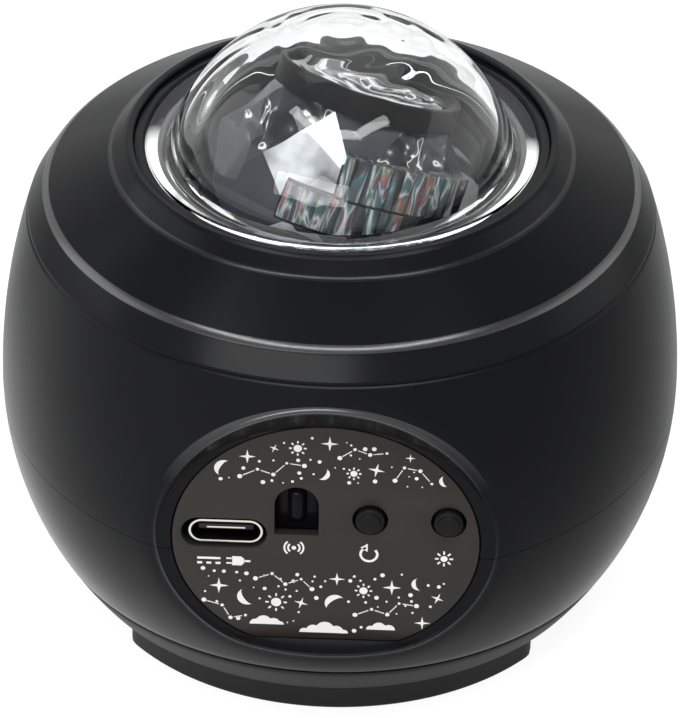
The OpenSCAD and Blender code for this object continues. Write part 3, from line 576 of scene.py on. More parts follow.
def body_wall():
    """The whole outer wall, from the bottom of the lower shell to the dome's seat."""
    low = [(FLOOR_R, BASE_Z), (ball(BASE_Z) - 0.3, BASE_Z),
           (ball(BASE_Z + 0.1) - 0.08, BASE_Z + 0.06), (ball(BASE_Z + 0.35), BASE_Z + 0.35)]
    side = [(ball(z), z) for z in PATCH_ROWS]
    hair = [(ball(z) - deep, z, rounding) for z, deep, rounding in
            ((HAIR_Z - 0.2, 0, 0.1), (HAIR_Z, HAIR_DEEP, 0.08), (HAIR_Z + 0.25, 0, 0.1))]
    top = rounded([
        (*side[-1], 0), *hair, (*SHOULDER, 0.3), (*RIM, 2.6), (*COLLAR_FOOT, 1.4),
        (LIP_R + 0.1, LIP_Z - 0.35, 0.35), (LIP_R - 0.35, LIP_Z, 0.35), (BORE_R + 0.15, LIP_Z, 0.15),
        (BORE_R, LIP_Z - 0.25, 0.15), (BORE_R, SEAT_Z, 0), (HOLE_R, SEAT_Z, 0.1),
        (HOLE_R, SEAT_Z - 1.4, 0)])
    profile = [Vector(p) for p in low + side] + top[1:]
    angles = [radians(a) for a in COLUMNS]
    points, faces = woven([[round_point(r, z, a) for a in angles] for r, z in profile])
    first, last = len(low), len(low) + PATCH_STEPS
    count = len(COLUMNS)
    kept = [f for f in faces
            if not (first <= f[0] // count < last and f[0] % count < 2 * FRONT)]
    return join((points, kept), recess_patch())


def add_shell(name, node, look, keep_above):
    """One of the two shells: its side of the seam, given a wall behind."""
    obj = new_piece(name, body_wall(), look, [node])
    seam = SEAM_Z + (SEAM_GAP if keep_above else -SEAM_GAP)

    def change(bm):
        loose = [v for v in bm.verts if not v.link_faces]
        bmesh.ops.delete(bm, geom=loose, context="VERTS")
        bmesh.ops.bisect_plane(
            bm, geom=bm.verts[:] + bm.edges[:] + bm.faces[:], dist=1e-7,
            plane_co=(0, 0, seam * MM), plane_no=(0, 0, 1),
            clear_inner=keep_above, clear_outer=not keep_above)

    edit(obj, change)
    wall = obj.modifiers.new("wall", "SOLIDIFY")
    wall.thickness, wall.offset = SHELL_WALL * MM, -1
    bake(obj)
    soften(obj, 28)


# ---- Foot ----

def foot_reach(a):
    """Distance from the axis to the foot's side at angle a: a round foot cut flat left and right."""
    tight, least_sine = 6, 0.3  # a smaller sine puts the flat well outside the round
    flat = FOOT_SIDE / max(abs(sin(a)), least_sine)
    return -log(exp(-tight * FOOT_R) + exp(-tight * flat)) / tight


def foot_shape():
    """The straight foot and the bead over it, up to the groove, as one closed shape."""
    angles = full_turn(240)
    edge = [(12, FOOT_RISE), (0.7, FOOT_RISE), (0.3, 0.5), (0.08, 0.75), (0, 1.2),
            (0, FOOT_Z - 0.35), (-0.1, FOOT_Z - 0.1), (-0.35, FOOT_Z)]
    foot = [[round_point(foot_reach(a) - inset, z, a) for a in angles] for inset, z in edge]
    top_r, groove_z = ball(FOOT_TOP), BASE_Z - 0.02
    bead = ([(ball(FOOT_Z) - 0.5, FOOT_Z), (ball(FOOT_Z) - 0.12, FOOT_Z + 0.06)]
            + [(ball(z), z) for z in (FOOT_Z + 0.35, 5.5, 6.2, 6.9, 7.6, 8.3)]
            + [(ball(8.8) - 0.02, 8.8), (top_r - 0.22, 9.08), (top_r - 0.5, FOOT_TOP),
               (top_r - 0.8, FOOT_TOP), (top_r - 0.8, groove_z), (20, groove_z)])
    return solid(foot + [[round_point(r, z, a) for a in angles] for r, z in bead])


def add_foot(look):
    """The foot with its screw holes, and the pockets of its five pads."""
    obj = new_piece("foot_base_shape", foot_shape(), look, ["foot_base"])
    below, above = -1, 11
    holes = [well(0, 0, PAD_R, below, PAD_TOP)]
    for a in full_turn(4):
        x, y = polar(SCREW_AT, a)
        holes += [well(x, y, SCREW_HEAD_R, below, SCREW_SEAT_Z), well(x, y, SCREW_HOLE_R, 6, above)]
        holes.append(well(*polar(PAD_AT, a + pi / 4), PAD_R, below, PAD_TOP))
    cut(obj, *holes)
    soften(obj, 30)


# ---- Dome ----

CROWN_ANGLE, CROWN_DEEP, CROWN_RINGS = 34, 0.03, 4
POLE = 0.02  # degrees, so that the rings round the dome's pole keep a width


def crown(angle):
    """Depth of the moulded rings on the crown, angle degrees from the top."""
    if angle > CROWN_ANGLE:
        return 0
    return CROWN_DEEP * (1 - cos(radians(360 * CROWN_RINGS * angle / CROWN_ANGLE)))


def sphere_r(r, z):
    """Radius at height z of a sphere round the dome's centre."""
    return sqrt(r ** 2 - (z - DOME_Z) ** 2)


def dome_shape():
    """Outer and inner surfaces with the stepped flange; the inner one carries the swirled relief."""
    angles, steps = full_turn(192), 66
    inner_r = DOME_R - DOME_WALL
    low, under = SEAT_Z - DOME_SKIRT, SEAT_Z + 0.05
    step, rise = SEAT_Z + FLANGE_FOOT_T, SEAT_Z + FLANGE_T
    foot = rounded([
        (sphere_r(inner_r, low), low, 0), (sphere_r(DOME_R, low), low, 0.15),
        (sphere_r(DOME_R, SEAT_Z), under, 0.1), (FLANGE_IN_R, under, 0),
        (FLANGE_FOOT_R, under, 0.15), (FLANGE_FOOT_R, step, 0.15), (FLANGE_R, step, 0.1),
        (FLANGE_R, rise, 0.35), (sphere_r(DOME_R, rise), rise, 0)], 3)
    rings = [[round_point(r, z, a) for a in angles] for r, z in foot[1:]]
    top = degrees(acos((rise - DOME_Z) / DOME_R))
    for i in range(1, steps + 1):
        polar = top * (1 - i / steps)
        r = DOME_R - crown(polar)
        p = radians(max(polar, POLE))
        rings.append([round_point(r * sin(p), DOME_Z + r * cos(p), a) for a in angles])
    bottom = degrees(acos((low - DOME_Z) / inner_r))
    for i in range(steps + 1):
        p = radians(max(bottom * i / steps, POLE))
        ring = []
        for a in angles:
            way = Vector(round_point(sin(p), cos(p), a))
            r = inner_r - inner_relief(way)
            ring.append((r * way.x, r * way.y, DOME_Z + r * way.z))
        rings.append(ring)
    return woven(rings, close=True)


def add_dome(look, seat_glare_look):
    """The dome, with its seat in the collar seen through the flange, and a painted reflection on the
    flange's underside.
    """
    obj = new_piece("outer_dome_shape", dome_shape(), look, ["outer_dome"])
    face_outward(obj)
    dress(obj, look, seat_glare_look)
    # the faces of the flange's underside take the second material, a painted reflection
    for face in obj.data.polygons:
        centre = face.center / MM
        face.material_index = int(face.normal.z < -0.8 and abs(centre.z - SEAT_Z) < 0.1
                                  and hypot(centre.x, centre.y) > FLANGE_IN_R)
    soften(obj, 40)


def inner_relief(way):
    """How far the dome's inner surface stands in: a swirl off the crown, and flutes at the side."""
    centre = Vector((0.34, 0.1, 0.93)).normalized()
    off = degrees(way.angle(centre))
    fade = max(0.0, 1 - (off / 46) ** 2)
    swirl = off * (1 + 0.12 * sin(2 * atan2(way.x - centre.x, centre.y - way.y) + 0.6))
    long_wave = 0.5 + 0.5 * sin(radians(swirl * 22))
    side = max(0.0, min(1.0, (0.92 - way.z) * 3)) * max(0.0, min(1.0, (way.z - 0.28) * 3))
    around = atan2(way.x, -way.y)
    flute = 0.5 + 0.5 * sin(17 * around + 9 * way.z + 1.5 * sin(3 * around))
    return 0.10 * fade * long_wave + (0.13 - 0.09 * way.x) * side * flute


# ---- Crystal ----

LEAN = Matrix.Rotation(radians(17), 3, "Y") @ Matrix.Rotation(radians(-20), 3, "X")
CRYSTAL = Vector((0, 0, 58.5))
PAINTED_GLARE_SIDE = range(241, 255)  # the ways that facets face, in degrees round the crystal's axis; facets facing this way get a painted bright reflection
BACK_SIDES = range(30, 150)
PAINTED_GLINT_SIDES = (201, 202, 203, 225, 270, 291, 292, 293, 315)
PAINTED_GLARE_Z, PAINTED_GLINT_Z = 2, 3  # the painted bright reflection and the painted glints lie above these heights
SLANT, SLANT_SLOPE = (-4.5, -12.2, 4.6), 0.5  # a point of the line that halves the facet with the painted bright reflection
OUTSIDE_R, BOTTOM_Z = 10.4, -8.9  # facets farther in or lower stay clear


def leaned(x, y, z):
    """A point given on the crystal's own axes."""
    return CRYSTAL + LEAN @ Vector((x, y, z))


def add_crystal(looks):
    """The crystal from its CAD node, with fine facet edges and one finish per group of facets; most of
    these finishes are painted light and shade.
    """
    obj = refined("crystal_drum", looks[0], 0.12, crease=9, segments=1)
    dress(obj, *looks)
    back = LEAN.transposed()

    def split(bm):
        """Halves the bright facet along a slant, as if a second facet met it there, so that its halves
        take two tones of painted reflection.
        """
        kept = [f for f in bm.faces if facet_azimuth(back @ f.normal) in PAINTED_GLARE_SIDE
                and (back @ (f.calc_center_median() / MM - CRYSTAL)).z > PAINTED_GLARE_Z]
        parts = kept + [e for f in kept for e in f.edges] + [v for f in kept for v in f.verts]
        bmesh.ops.bisect_plane(bm, geom=list(dict.fromkeys(parts)), dist=1e-7,
                               plane_co=leaned(*SLANT) * MM, plane_no=LEAN @ Vector((SLANT_SLOPE, 0, 1)))

    edit(obj, split)
    for face in obj.data.polygons:
        centre = back @ (face.center / MM - CRYSTAL)
        normal = back @ face.normal
        face.material_index = facet_kind(facet_azimuth(normal), centre, normal)
        face.use_smooth = False


def facet_azimuth(normal):
    """The way a facet faces, in whole degrees round the crystal's axis."""
    return int(degrees(atan2(normal.y, normal.x)) % 360)


def facet_kind(azimuth, centre, normal):
    """0 is a clear facet, 1 one with a painted bright reflection, 2 one with a paler grey painted
    reflection, 3 one painted dark as painted shade, 4 one painted dark with painted glints.
    """
    around = degrees(atan2(centre.y, centre.x)) % 360
    outward = abs((azimuth - around + 180) % 360 - 180) < 28
    inside = hypot(centre.x, centre.y) < OUTSIDE_R or centre.z < BOTTOM_Z
    if inside or not outward or abs(normal.z) > 0.9 or azimuth in BACK_SIDES:
        return 0
    if azimuth in PAINTED_GLARE_SIDE:
        over = centre.z > max(PAINTED_GLARE_Z, SLANT[2] - SLANT_SLOPE * (centre.x - SLANT[0]))
        return 1 if over else 2
    return 4 if centre.z > PAINTED_GLINT_Z and azimuth in PAINTED_GLINT_SIDES else 3


def rib_band(span, z0, z1):
    """One band of upright ribs on the crystal's own axes, with scalloped ends."""
    tier_r, deep, rib_w, swell = 16.1, 2.2, 1.5, 0.4
    ribs = round(radians(span[1] - span[0]) * tier_r / rib_w)
    per = 8
    outer, inner = [], []
    for i in range(ribs * per + 1):
        a = radians(span[0] + (span[1] - span[0]) * i / (ribs * per))
        r = tier_r + swell * abs(sin(pi * i / per)) ** 0.7
        outer.append(polar(r, a))
        inner.append(polar(tier_r - deep, a))
    return solid([[(x, y, z) for x, y in outer + inner[::-1]] for z in (z0, z1)])


def add_tiers(look):
    """Both bands, on the crystal's axes, so that their painted streaks run along the ribs."""
    shape = join(rib_band((263, 327), 0.4, 5.4), rib_band((241, 295), -4.2, 0.1))
    obj = new_piece("prism_tiers_shape", shape, look, ["prism_tiers"], "rotor",
                    Matrix.Translation(CRYSTAL * MM) @ LEAN.to_4x4())
    face_outward(obj)
    edit(obj, lambda bm: bevel_edges(bm, 0.07, 55, 1))
    soften(obj, 24)


def add_ripple_disc(look):
    """The disc under the cap, its top moulded in rings round an off-centre point."""
    rows, r, bottom, top = 30, 10.33, 10.4, 11.55
    centre, deep, pitch = Vector((2.4, 0.8)), 0.2, 2.1
    rings = []
    for z in (bottom, top):
        for k in range(rows + 1) if z == bottom else range(rows, -1, -1):
            ring = []
            for a in full_turn(96):
                x, y = polar(r * k / rows, a)
                off = (Vector((x, y)) - centre).length
                wave = deep * cos(off * pitch) * (1 - (k / rows) ** 6) - deep
                ring.append(leaned(x, y, z + (wave if z == top else 0)))
            rings.append(ring)
    obj = new_piece("ripple_disc_shape", woven(rings), look, ["ripple_disc"], "rotor")
    face_outward(obj)
    soften(obj, 40)


# ---- Panel ----

def add_panel(look):
    """The plate with its slot, window and holes, and a fine rounded edge."""
    outline = [(x, PANEL_Z + z) for x, z in map(panel_edge, full_turn(200))]
    obj = new_piece("control_panel_shape", prism(outline, -PANEL_Y, -PANEL_Y + PANEL_T), look,
                    ["control_panel"])
    face_outward(obj)
    slot = stadium(SOCKET_X - SLOT_SHIFT, SOCKET_Z, SOCKET_W + 2 * (SLOT_GAP + SLOT_SHIFT),
                   SOCKET_T + 2 * SLOT_GAP)
    arch = ([(WINDOW_X - WINDOW_R, WINDOW_Z), (WINDOW_X + WINDOW_R, WINDOW_Z)]
            + circle(WINDOW_X, WINDOW_ARCH_Z, WINDOW_R, 24, 0, HALF_TURN))
    holes = [circle(x, BUTTON_Z, BUTTON_HOLE_R, 48) for x in BUTTONS.values()]
    through = (-PANEL_Y - 4, -PANEL_Y + 6)
    cut(obj, *[prism(shape, *through) for shape in (slot, arch, *holes)])
    edit(obj, lambda bm: bmesh.ops.dissolve_limit(bm, angle_limit=0.01, verts=bm.verts, edges=bm.edges))
    edit(obj, lambda bm: bevel_edges(bm, 0.12, 50, 2))
    soften(obj, 30)


PRINT_Y = (-PANEL_Y - 0.03, -PANEL_Y + 0.01)  # the print's front, and its back just in the plate


class Print:
    """White print on the panel, each mark a very thin raised shape."""

    def __init__(self):
        self.shapes = []
        self.kept_clear = []
        self.random = random.Random(41)

    def mark(self, outline, reach=0.0):
        """A filled mark; reach keeps loose dots away from it."""
        self.shapes.append(prism(outline, *PRINT_Y))
        if reach:
            x = sum(p[0] for p in outline) / len(outline)
            z = sum(p[1] for p in outline) / len(outline)
            self.kept_clear.append((x, z, reach))

    def dot(self, x, z, r):
        """A round star."""
        self.mark(circle(x, z, r, 14), r + 0.25)

    def sparkle(self, x, z, r, turn=0.0):
        """A star with four thin points and a narrow waist."""
        tips = [(r if i % 2 == 0 else 0.24 * r, turn + pi * i / 4) for i in range(8)]
        self.mark([(x + tip * sin(a), z + tip * cos(a)) for tip, a in tips][::-1], r + 0.2)

    def crescent(self, x, z, r, turn):
        """A moon: an outer arc and a shallower inner one."""
        steps, shallow = 18, 1 - 0.62
        around = [pi / 2 + pi * i / steps for i in range(steps + 1)]
        arcs = ([polar(r, a) for a in around]
                + [(r * shallow * cos(a), r * sin(a)) for a in around[-2:0:-1]])
        c, s = cos(turn), sin(turn)
        self.mark([(x + px * c - pz * s, z + px * s + pz * c) for px, pz in arcs], r + 0.25)

    def stroke(self, line, width):
        """A line of even width, closed at its ends."""
        rings = []
        for i, (x, z) in enumerate(line):
            back = Vector(line[max(i - 1, 0)])
            way = (Vector(line[min(i + 1, len(line) - 1)]) - back).normalized()
            side = Vector((-way.y, way.x)) * width / 2
            rings.append([(x + s * side.x, y, z + s * side.y) for s, y in
                          ((1, PRINT_Y[0]), (-1, PRINT_Y[0]), (-1, PRINT_Y[1]), (1, PRINT_Y[1]))])
        self.shapes.append(solid(rings))

    def constellation(self, *stars):
        """Star dots of different sizes joined by thin lines."""
        for i, (x, z) in enumerate(stars):
            self.dot(x, z, (0.3, 0.21, 0.26, 0.18)[i % 4])
        for (x0, z0), (x1, z1) in zip(stars, stars[1:]):
            a, b = Vector((x0, z0)), Vector((x1, z1))
            gap = (b - a).normalized() * 0.42
            self.stroke([a + gap, b - gap], 0.11)

    def sun(self, x, z, r, ray=(1.45, 2.1), width=0.2):
        """A disc with eight short rays round it."""
        self.mark(circle(x, z, r, 20), r * ray[1] + 0.2)
        for a in full_turn(8):
            way = Vector((sin(a), cos(a)))
            self.stroke([Vector((x, z)) + way * r * reach for reach in ray], width)

    def cloud(self, x, z, lobes):
        """A flat-footed cloud: the upper edge of a row of round lobes (offset, height, radius)."""
        left = min(o - r for o, h, r in lobes)
        right = max(o + r for o, h, r in lobes)
        upper = []
        for i in range(49):
            at = left + (right - left) * i / 48
            tops = [h + sqrt(r * r - (at - o) ** 2) for o, h, r in lobes if abs(at - o) < r]
            upper.append((x + at, z + max([0.05] + tops)))
        self.mark(upper[::-1] + [(x + left, z), (x + right, z)], (right - left) / 2 + 0.2)

    def loose_dots(self, count, inside):
        """Seeded dots that keep clear of the other marks."""
        made = 0
        for _ in range(4000):
            x, z = self.random.uniform(-16, 16), self.random.uniform(14, 45)
            r = self.random.choice((0.1, 0.14, 0.18, 0.24, 0.28))
            if made < count and inside(x, z) and all(
                    hypot(x - a, z - b) > reach + r + 0.12 for a, b, reach in self.kept_clear):
                self.dot(x, z, r)
                made += 1


def on_plate(x, z, margin):
    """True for a point on the plate, at least margin from its edge."""
    across, rise = x / (PANEL_W - margin), (z - PANEL_Z) / (PANEL_H - margin)
    return across ** 2 + rise ** 2 < 1 and z > PANEL_Z - PANEL_CUT + margin


def add_print(look):
    """The night-sky print in two bands, and a sign under each control."""
    ink = Print()
    ink.crescent(-12.2, 39.3, 1.15, -0.5)
    ink.sparkle(-9.4, 41.1, 1.0)
    ink.constellation((-10.3, 38.2), (-8.2, 39.3), (-6.3, 38.6), (-4.7, 40.3), (-2.6, 40.0))
    ink.sparkle(-6.2, 42.4, 0.62, turn=0.4)
    ink.sun(-3.4, 42.5, 0.5)
    ink.sparkle(0.4, 43.3, 1.05)
    ink.crescent(-0.4, 38.9, 0.85, 2.6)
    ink.constellation((1.6, 41.3), (3.4, 42.6), (5.2, 41.9), (7.2, 42.2))
    ink.sun(3.3, 39.1, 0.42)
    ink.sparkle(6.0, 39.7, 1.0, turn=0.2)
    ink.constellation((8.2, 38.3), (9.3, 40.2), (11.2, 39.8), (12.6, 38.0))
    ink.sparkle(10.0, 41.6, 0.6)
    ink.crescent(14.2, 38.4, 0.75, 0.3)
    ink.loose_dots(34, lambda x, z: z > 37.4 and on_plate(x, z, 1.4) and abs(x - 1) < 14.5)

    ink.sparkle(-12.8, 22.1, 1.15)
    ink.crescent(-9.4, 20.6, 1.2, 0.5)
    ink.constellation((-14.6, 19.9), (-12.4, 19.2), (-11.4, 17.4), (-9.6, 17.8))
    ink.constellation((-8.4, 23.3), (-6.4, 24.1), (-4.8, 22.6), (-2.9, 23.4), (-1.6, 22.0))
    ink.sun(-5.9, 19.9, 0.62)
    ink.sparkle(-2.9, 19.9, 0.85, turn=0.3)
    ink.sparkle(1.4, 23.6, 0.95)
    ink.crescent(1.2, 20.0, 1.25, -0.9)
    ink.sun(4.6, 22.0, 0.5)
    ink.constellation((3.6, 18.4), (5.6, 19.3), (7.5, 18.6), (8.9, 20.3), (11.0, 20.0))
    ink.sparkle(8.0, 22.6, 1.1)
    ink.crescent(11.2, 23.2, 0.85, 0.2)
    ink.sparkle(13.5, 21.2, 0.8, turn=0.4)
    ink.sparkle(11.7, 17.5, 0.95)
    ink.cloud(-6.9, 16.6, [(-1.5, 0, 0.7), (-0.5, 0.3, 0.95), (0.7, 0.1, 0.8), (1.5, 0, 0.45)])
    ink.cloud(-0.2, 15.6, [(-2.3, 0, 0.6), (-1.2, 0.2, 0.9), (0.2, 0.5, 1.1), (1.6, 0.2, 0.85),
                           (2.5, 0, 0.5)])
    ink.cloud(6.9, 16.3, [(-1.4, 0, 0.55), (-0.4, 0.2, 0.85), (0.8, 0, 0.75)])
    ink.loose_dots(52, lambda x, z: z < 24.6 and on_plate(x, z, 1.2) and abs(x) < 15.2)

    ink.stroke([(-15.4, 26.1), (-12.6, 26.1)], 0.3)
    for x in (-15.4, -14.3, -13.2):
        ink.stroke([(x, 25.4), (x + 0.6, 25.4)], 0.3)
    ink.mark([(-11.2, 25.15), (-10.1, 25.15), (-9.75, 25.5), (-9.75, 26.1), (-10.1, 26.45),
              (-11.2, 26.45)])
    for z in (25.45, 26.15):
        ink.stroke([(-11.9, z), (-11.25, z)], 0.22)
    ink.stroke([(-9.7, 25.8), (-9.0, 25.8)], 0.26)
    ink.dot(-3.8, 28.0, 0.28)
    for r in (0.7, 1.15):
        for begin in (-0.27, 0.73):
            ink.stroke(circle(-3.8, 28.0, r, 12, pi * begin, pi * 0.54), 0.22)
    ink.stroke(circle(5.2, 27.4, 1.0, 30, pi * 0.62, pi * 1.6), 0.3)
    ink.mark([(5.05, 28.95), (5.05, 27.75), (4.15, 28.35)])
    ink.sun(14.2, 27.1, 0.42, (1.5, 2.6), 0.22)
    face_outward(new_piece("panel_print", join(*ink.shapes), look))


def add_socket(look, inside):
    """The socket's shell, bright outside and at its mouth, with painted shade inside: a dark metal on its
    inner faces.
    """
    obj = refined("usb_shell", look, 0.07)
    dress(obj, look, inside)
    straight = (SOCKET_W - SOCKET_T) / 2
    # the inner faces take the second material, painted shade
    for face in obj.data.polygons:
        centre = face.center / MM
        way = Vector((centre.x - SOCKET_X, 0, centre.z - SOCKET_Z))
        way.x -= max(-straight, min(straight, way.x))
        face.material_index = int(abs(face.normal.y) < 0.5 and face.normal.dot(way) < 0)


def add_contact_bar(look):
    """The bright front edge of the socket's tongue, and its row of contacts."""
    tongue_y, contact_at, pitch = -34.72, 0.35, 0.5

    def bar(x, z, half_w, half_t, y0, y1):
        corners = [(x - half_w, z - half_t), (x + half_w, z - half_t),
                   (x + half_w, z + half_t), (x - half_w, z + half_t)]
        return prism(corners, tongue_y + y0, tongue_y + y1)

    shapes = [bar(SOCKET_X, SOCKET_Z, 2.3, 0.1, -0.1, 0.3)]
    shapes += [bar(SOCKET_X - 2.75 + i * pitch, SOCKET_Z + side * contact_at, 0.12, 0.03, 0.5, 4.4)
               for i in range(12) for side in (-1, 1)]
    face_outward(new_piece("usb_contacts", join(*shapes), look))


# ---- Studio ----

FLOOR_HALF = 4000
KEY_LAMPS = {"key_left": -55, "key": -5, "key_right": 45}  # degrees from the front to the right
KEY_OUT, KEY_Z, KEY_AIM_Z, KEY_SIZE, KEY_POWER = 0.42, 0.9, 0.05, (0.4, 0.1), 1.9
LAMPS = {  # place, height aimed at, width and height, power in watts
    "front": ((-0.34, -0.97, 0.55), 0.04, (1.0, 0.3), 8.0),
    "left": ((-0.95, 0.15, 0.5), 0.03, (0.7, 0.7), 2.4),
    "right": ((0.95, 0.2, 0.4), 0.03, (0.7, 0.7), 1.4),
    "back": ((0.1, 0.8, 1.2), 0.05, (1.2, 1.2), 5.0),
}


def add_studio():
    """A room that is white where it is seen straight or through glass, lights the part dimly, and
    is mirrored darker overhead. Its lamps are three short keys on an arc overhead, a wide one in
    front, one at each side and one at the back."""
    world = Look("studio", bpy.data.worlds)
    white = world.node("Background", {}, {"Color": (1, 1, 1, 1), "Strength": 1.0})
    dim = world.node("Background", {}, {"Color": (0.95, 0.97, 1, 1), "Strength": 0.25})
    up = world.node("SeparateXYZ", {}, {"Vector": world.node("TexCoord", output="Generated")}, output="Z")
    ceiling = (1.9 - up * 2.0).held(0.1, 1.0)
    straight, glossy, through = world.ways()
    share = straight.math("MAXIMUM", glossy * ceiling).math("MAXIMUM", through)
    world.output(world.node("MixShader", {}, {0: share, 1: dim, 2: white}), "OutputWorld")
    bpy.context.scene.world = world.material
    bpy.context.scene.view_settings.view_transform = "Standard"
    add_floor()
    for name, turn in KEY_LAMPS.items():
        lamp(name, round_point(KEY_OUT, KEY_Z, radians(turn)), KEY_AIM_Z, KEY_SIZE, KEY_POWER)
    for name, (place, aim_z, size, power) in LAMPS.items():
        lamp(name, place, aim_z, size, power)


def add_floor():
    """A floor that keeps the shadow, looks white, and mirrors darker to the right and behind."""
    corners = [(-1, -1), (1, -1), (1, 1), (-1, 1)]
    obj = from_points("floor", ([(x * FLOOR_HALF, y * FLOOR_HALF, 0) for x, y in corners],
                                [(0, 1, 2, 3)]))
    look = Look("floor")
    body = look.node("BsdfPrincipled", {}, {
        "Base Color": look.mix(look.noise(900), (0.48, 0.48, 0.48), (0.52, 0.52, 0.52)),
        "Roughness": 0.7, "Specular IOR Level": 0.1})
    glow = look.node("Emission", {}, {"Color": (1, 1, 1, 1), "Strength": 1.5})
    straight, glossy, through = look.ways()
    behind = look.along("Y").math("MAXIMUM", 0.0)
    mirrored = (0.6 - look.along("X") * 4.5 - behind * 14.0).held(0.08, 0.75)
    share = (straight.math("MAXIMUM", through) * 0.6).math("MAXIMUM", glossy * mirrored)
    look.output(look.node("MixShader", {}, {0: share, 1: body, 2: glow}))
    dress(obj, look)


def lamp(name, place, aim_z, size, power):
    """A softbox that faces the part's axis at height aim_z."""
    data = bpy.data.lights.new(name, "AREA")
    data.shape, data.energy = "RECTANGLE", power
    data.size, data.size_y = size
    obj = stand(name, data)
    obj.location = place
    obj.rotation_euler = (Vector((0, 0, aim_z)) - Vector(place)).to_track_quat("-Z", "Y").to_euler()


# ---- Finishes of this part, several with painted light and shade ----

def polished_edges(look):
    """Gloss on the body's rim, on the collar's foot and on the upper lip of the recess."""
    across, front, height = (look.along(axis) for axis in "XYZ")
    rise = height - PANEL_Z * MM
    off = (across * across + rise * rise).math("SQRT")
    lip_r, lip_w, fade_from, fade = 20.7 * MM, 0.6 * MM, 8 * MM, 10 * MM
    lip = off.near(lip_r, lip_w) * front.math("LESS_THAN", 0.0)
    upper = ((rise - fade_from) * (1 / fade)).held(0.0, 1.0)
    return (height.near(RIM[1] * MM, 0.36 * MM) * 0.85
            + height.near(COLLAR_FOOT[1] * MM, 0.2 * MM) * 0.25 + lip * upper * 0.8)


def painted_seat_glare():
    """The flange's underside, where it lies on its seat, with a painted reflection: near black, and
    painted bright towards the left and right on the front half.
    """
    look = Look("flange_seat_painted_glare")
    stretch = look.noise(9, 1.0)
    streak = look.noise(2)
    side = look.along("X")
    # painted reflection: this mask fades it out towards the back, and the next value makes it brighter
    # towards the sides
    near = (0.5 - look.along("Y") * (1 / (7 * MM))).held(0.0, 1.0)
    glare_spread = side * side * (1 / (18 * MM) ** 2) + (stretch - 0.5) * 1.4 + (streak - 0.5) * 0.8 - 0.15
    return look.surface({
        "Base Color": look.mix(glare_spread * near, (0.01, 0.01, 0.012), (0.8, 0.8, 0.79)),
        "Metallic": 0.3, "Roughness": 0.25 + streak * 0.2, "Specular IOR Level": 0.1})


def painted_glare_facets(name, dark, light):
    """Facets painted with a reflection of the studio's light: their colour clouded and streaked from dark
    to light.
    """
    look = Look(name)
    cloud = look.noise(5)
    streak = look.noise(1.6, stretch=(1, 1, 0.4))
    return look.surface({
        "Base Color": look.mix((cloud - 0.5) * 2.2 + (streak - 0.5) * 0.9 + 0.6, dark, light),
        "Roughness": 0.25 + streak * 0.1, "Specular IOR Level": 0.15,
        "Normal": look.bump(cloud, 0.05)})


def painted_dark_facets():
    """Facets painted dark: painted shade for the dark body behind them."""
    look = Look("crystal_painted_dark")
    cloud = look.noise(7, wander=0.5)
    dust = look.noise(0.7)
    return look.surface({
        "Base Color": look.mix(cloud, (0.006, 0.006, 0.008), (0.030, 0.031, 0.037)),
        "Roughness": 0.14 + dust * 0.04, "Specular IOR Level": 0.06,
        "Normal": look.bump(cloud, 0.03)})


def painted_glint_facets():
    """Facets painted dark, with a few painted glints: slivers of the studio's light in their colour."""
    look = Look("crystal_painted_glints")
    painted_slivers = look.noise(3, 1.0, stretch=(1, 0.6, 1.6), wander=1.2)
    return look.surface({
        "Base Color": look.ramp(painted_slivers, [
            (0.40, (0.008, 0.008, 0.010)), (0.55, (0.022, 0.023, 0.028)), (0.59, (0.10, 0.10, 0.10)),
            (0.62, (0.60, 0.60, 0.57)), (0.65, (0.05, 0.045, 0.04)), (0.80, (0.015, 0.015, 0.018))]),
        "Roughness": 0.14 + painted_slivers * 0.05, "Specular IOR Level": 0.08})


def painted_rainbow_ribs():
    """Ribs with painted light: painted dark between them, with painted streaks of rainbow colour and
    highlight along each rib.
    """
    look = Look("painted_rainbow_ribs")
    along = look.noise(1.7, stretch=(1, 1, 0.2), wander=0.8)
    fine = look.noise(0.6, stretch=(1, 1, 0.14))
    painted_rainbow = look.ramp(along, [
        (0.36, (0.012, 0.012, 0.015)), (0.46, (0.035, 0.036, 0.042)), (0.50, (0.03, 0.10, 0.11)),
        (0.54, (0.40, 0.40, 0.37)), (0.57, (0.05, 0.05, 0.10)), (0.61, (0.22, 0.06, 0.05)),
        (0.65, (0.05, 0.16, 0.10)), (0.74, (0.65, 0.64, 0.58))])
    return look.surface({
        "Base Color": look.mix(fine * 0.7, painted_rainbow, (0.015, 0.015, 0.018)),
        "Metallic": 0.35, "Roughness": 0.16 + fine * 0.1, "Specular IOR Level": 0.2,
        "Normal": look.bump(along, 0.04)})


SATIN = moulded("satin_black", (0.0034, 0.0036, 0.0046), 0.24, 0.3, 0.002, 0.2, 0.09,
                polished_edges)
FOOT = moulded("foot_black", (0.007, 0.007, 0.0078), 0.5, 0.35, 0.006, 0.25, 0.15)
INNER = moulded("inner_black", (0.012, 0.012, 0.013), 0.55, 0.4, 0.008, 0.25, 0.3)
RUBBER = moulded("pad_rubber", (0.025, 0.025, 0.026), 0.75, 0.25, 0.012, 0.3, 0.25)
BRONZE = moulded("panel_bronze", (0.020, 0.0165, 0.0135), 0.36, 0.18, 0.002, 0.25, 0.25)
INK = moulded("white_ink", (0.80, 0.80, 0.78), 0.5, 0.12, 0.002, 0.12, 0.4)
BUTTON = moulded("button_black", (0.006, 0.006, 0.0065), 0.42, 0.2, 0.004, 0.2, 0.1)
CAP = moulded("cap_black", (0.003, 0.003, 0.0034), 0.36, 0.8, 0.0004, 0.3, 0.03)
RECEIVER = moulded("receiver_dark", (0.004, 0.004, 0.006), 0.16, 0.5, 0.001, 0.3, 0.07)
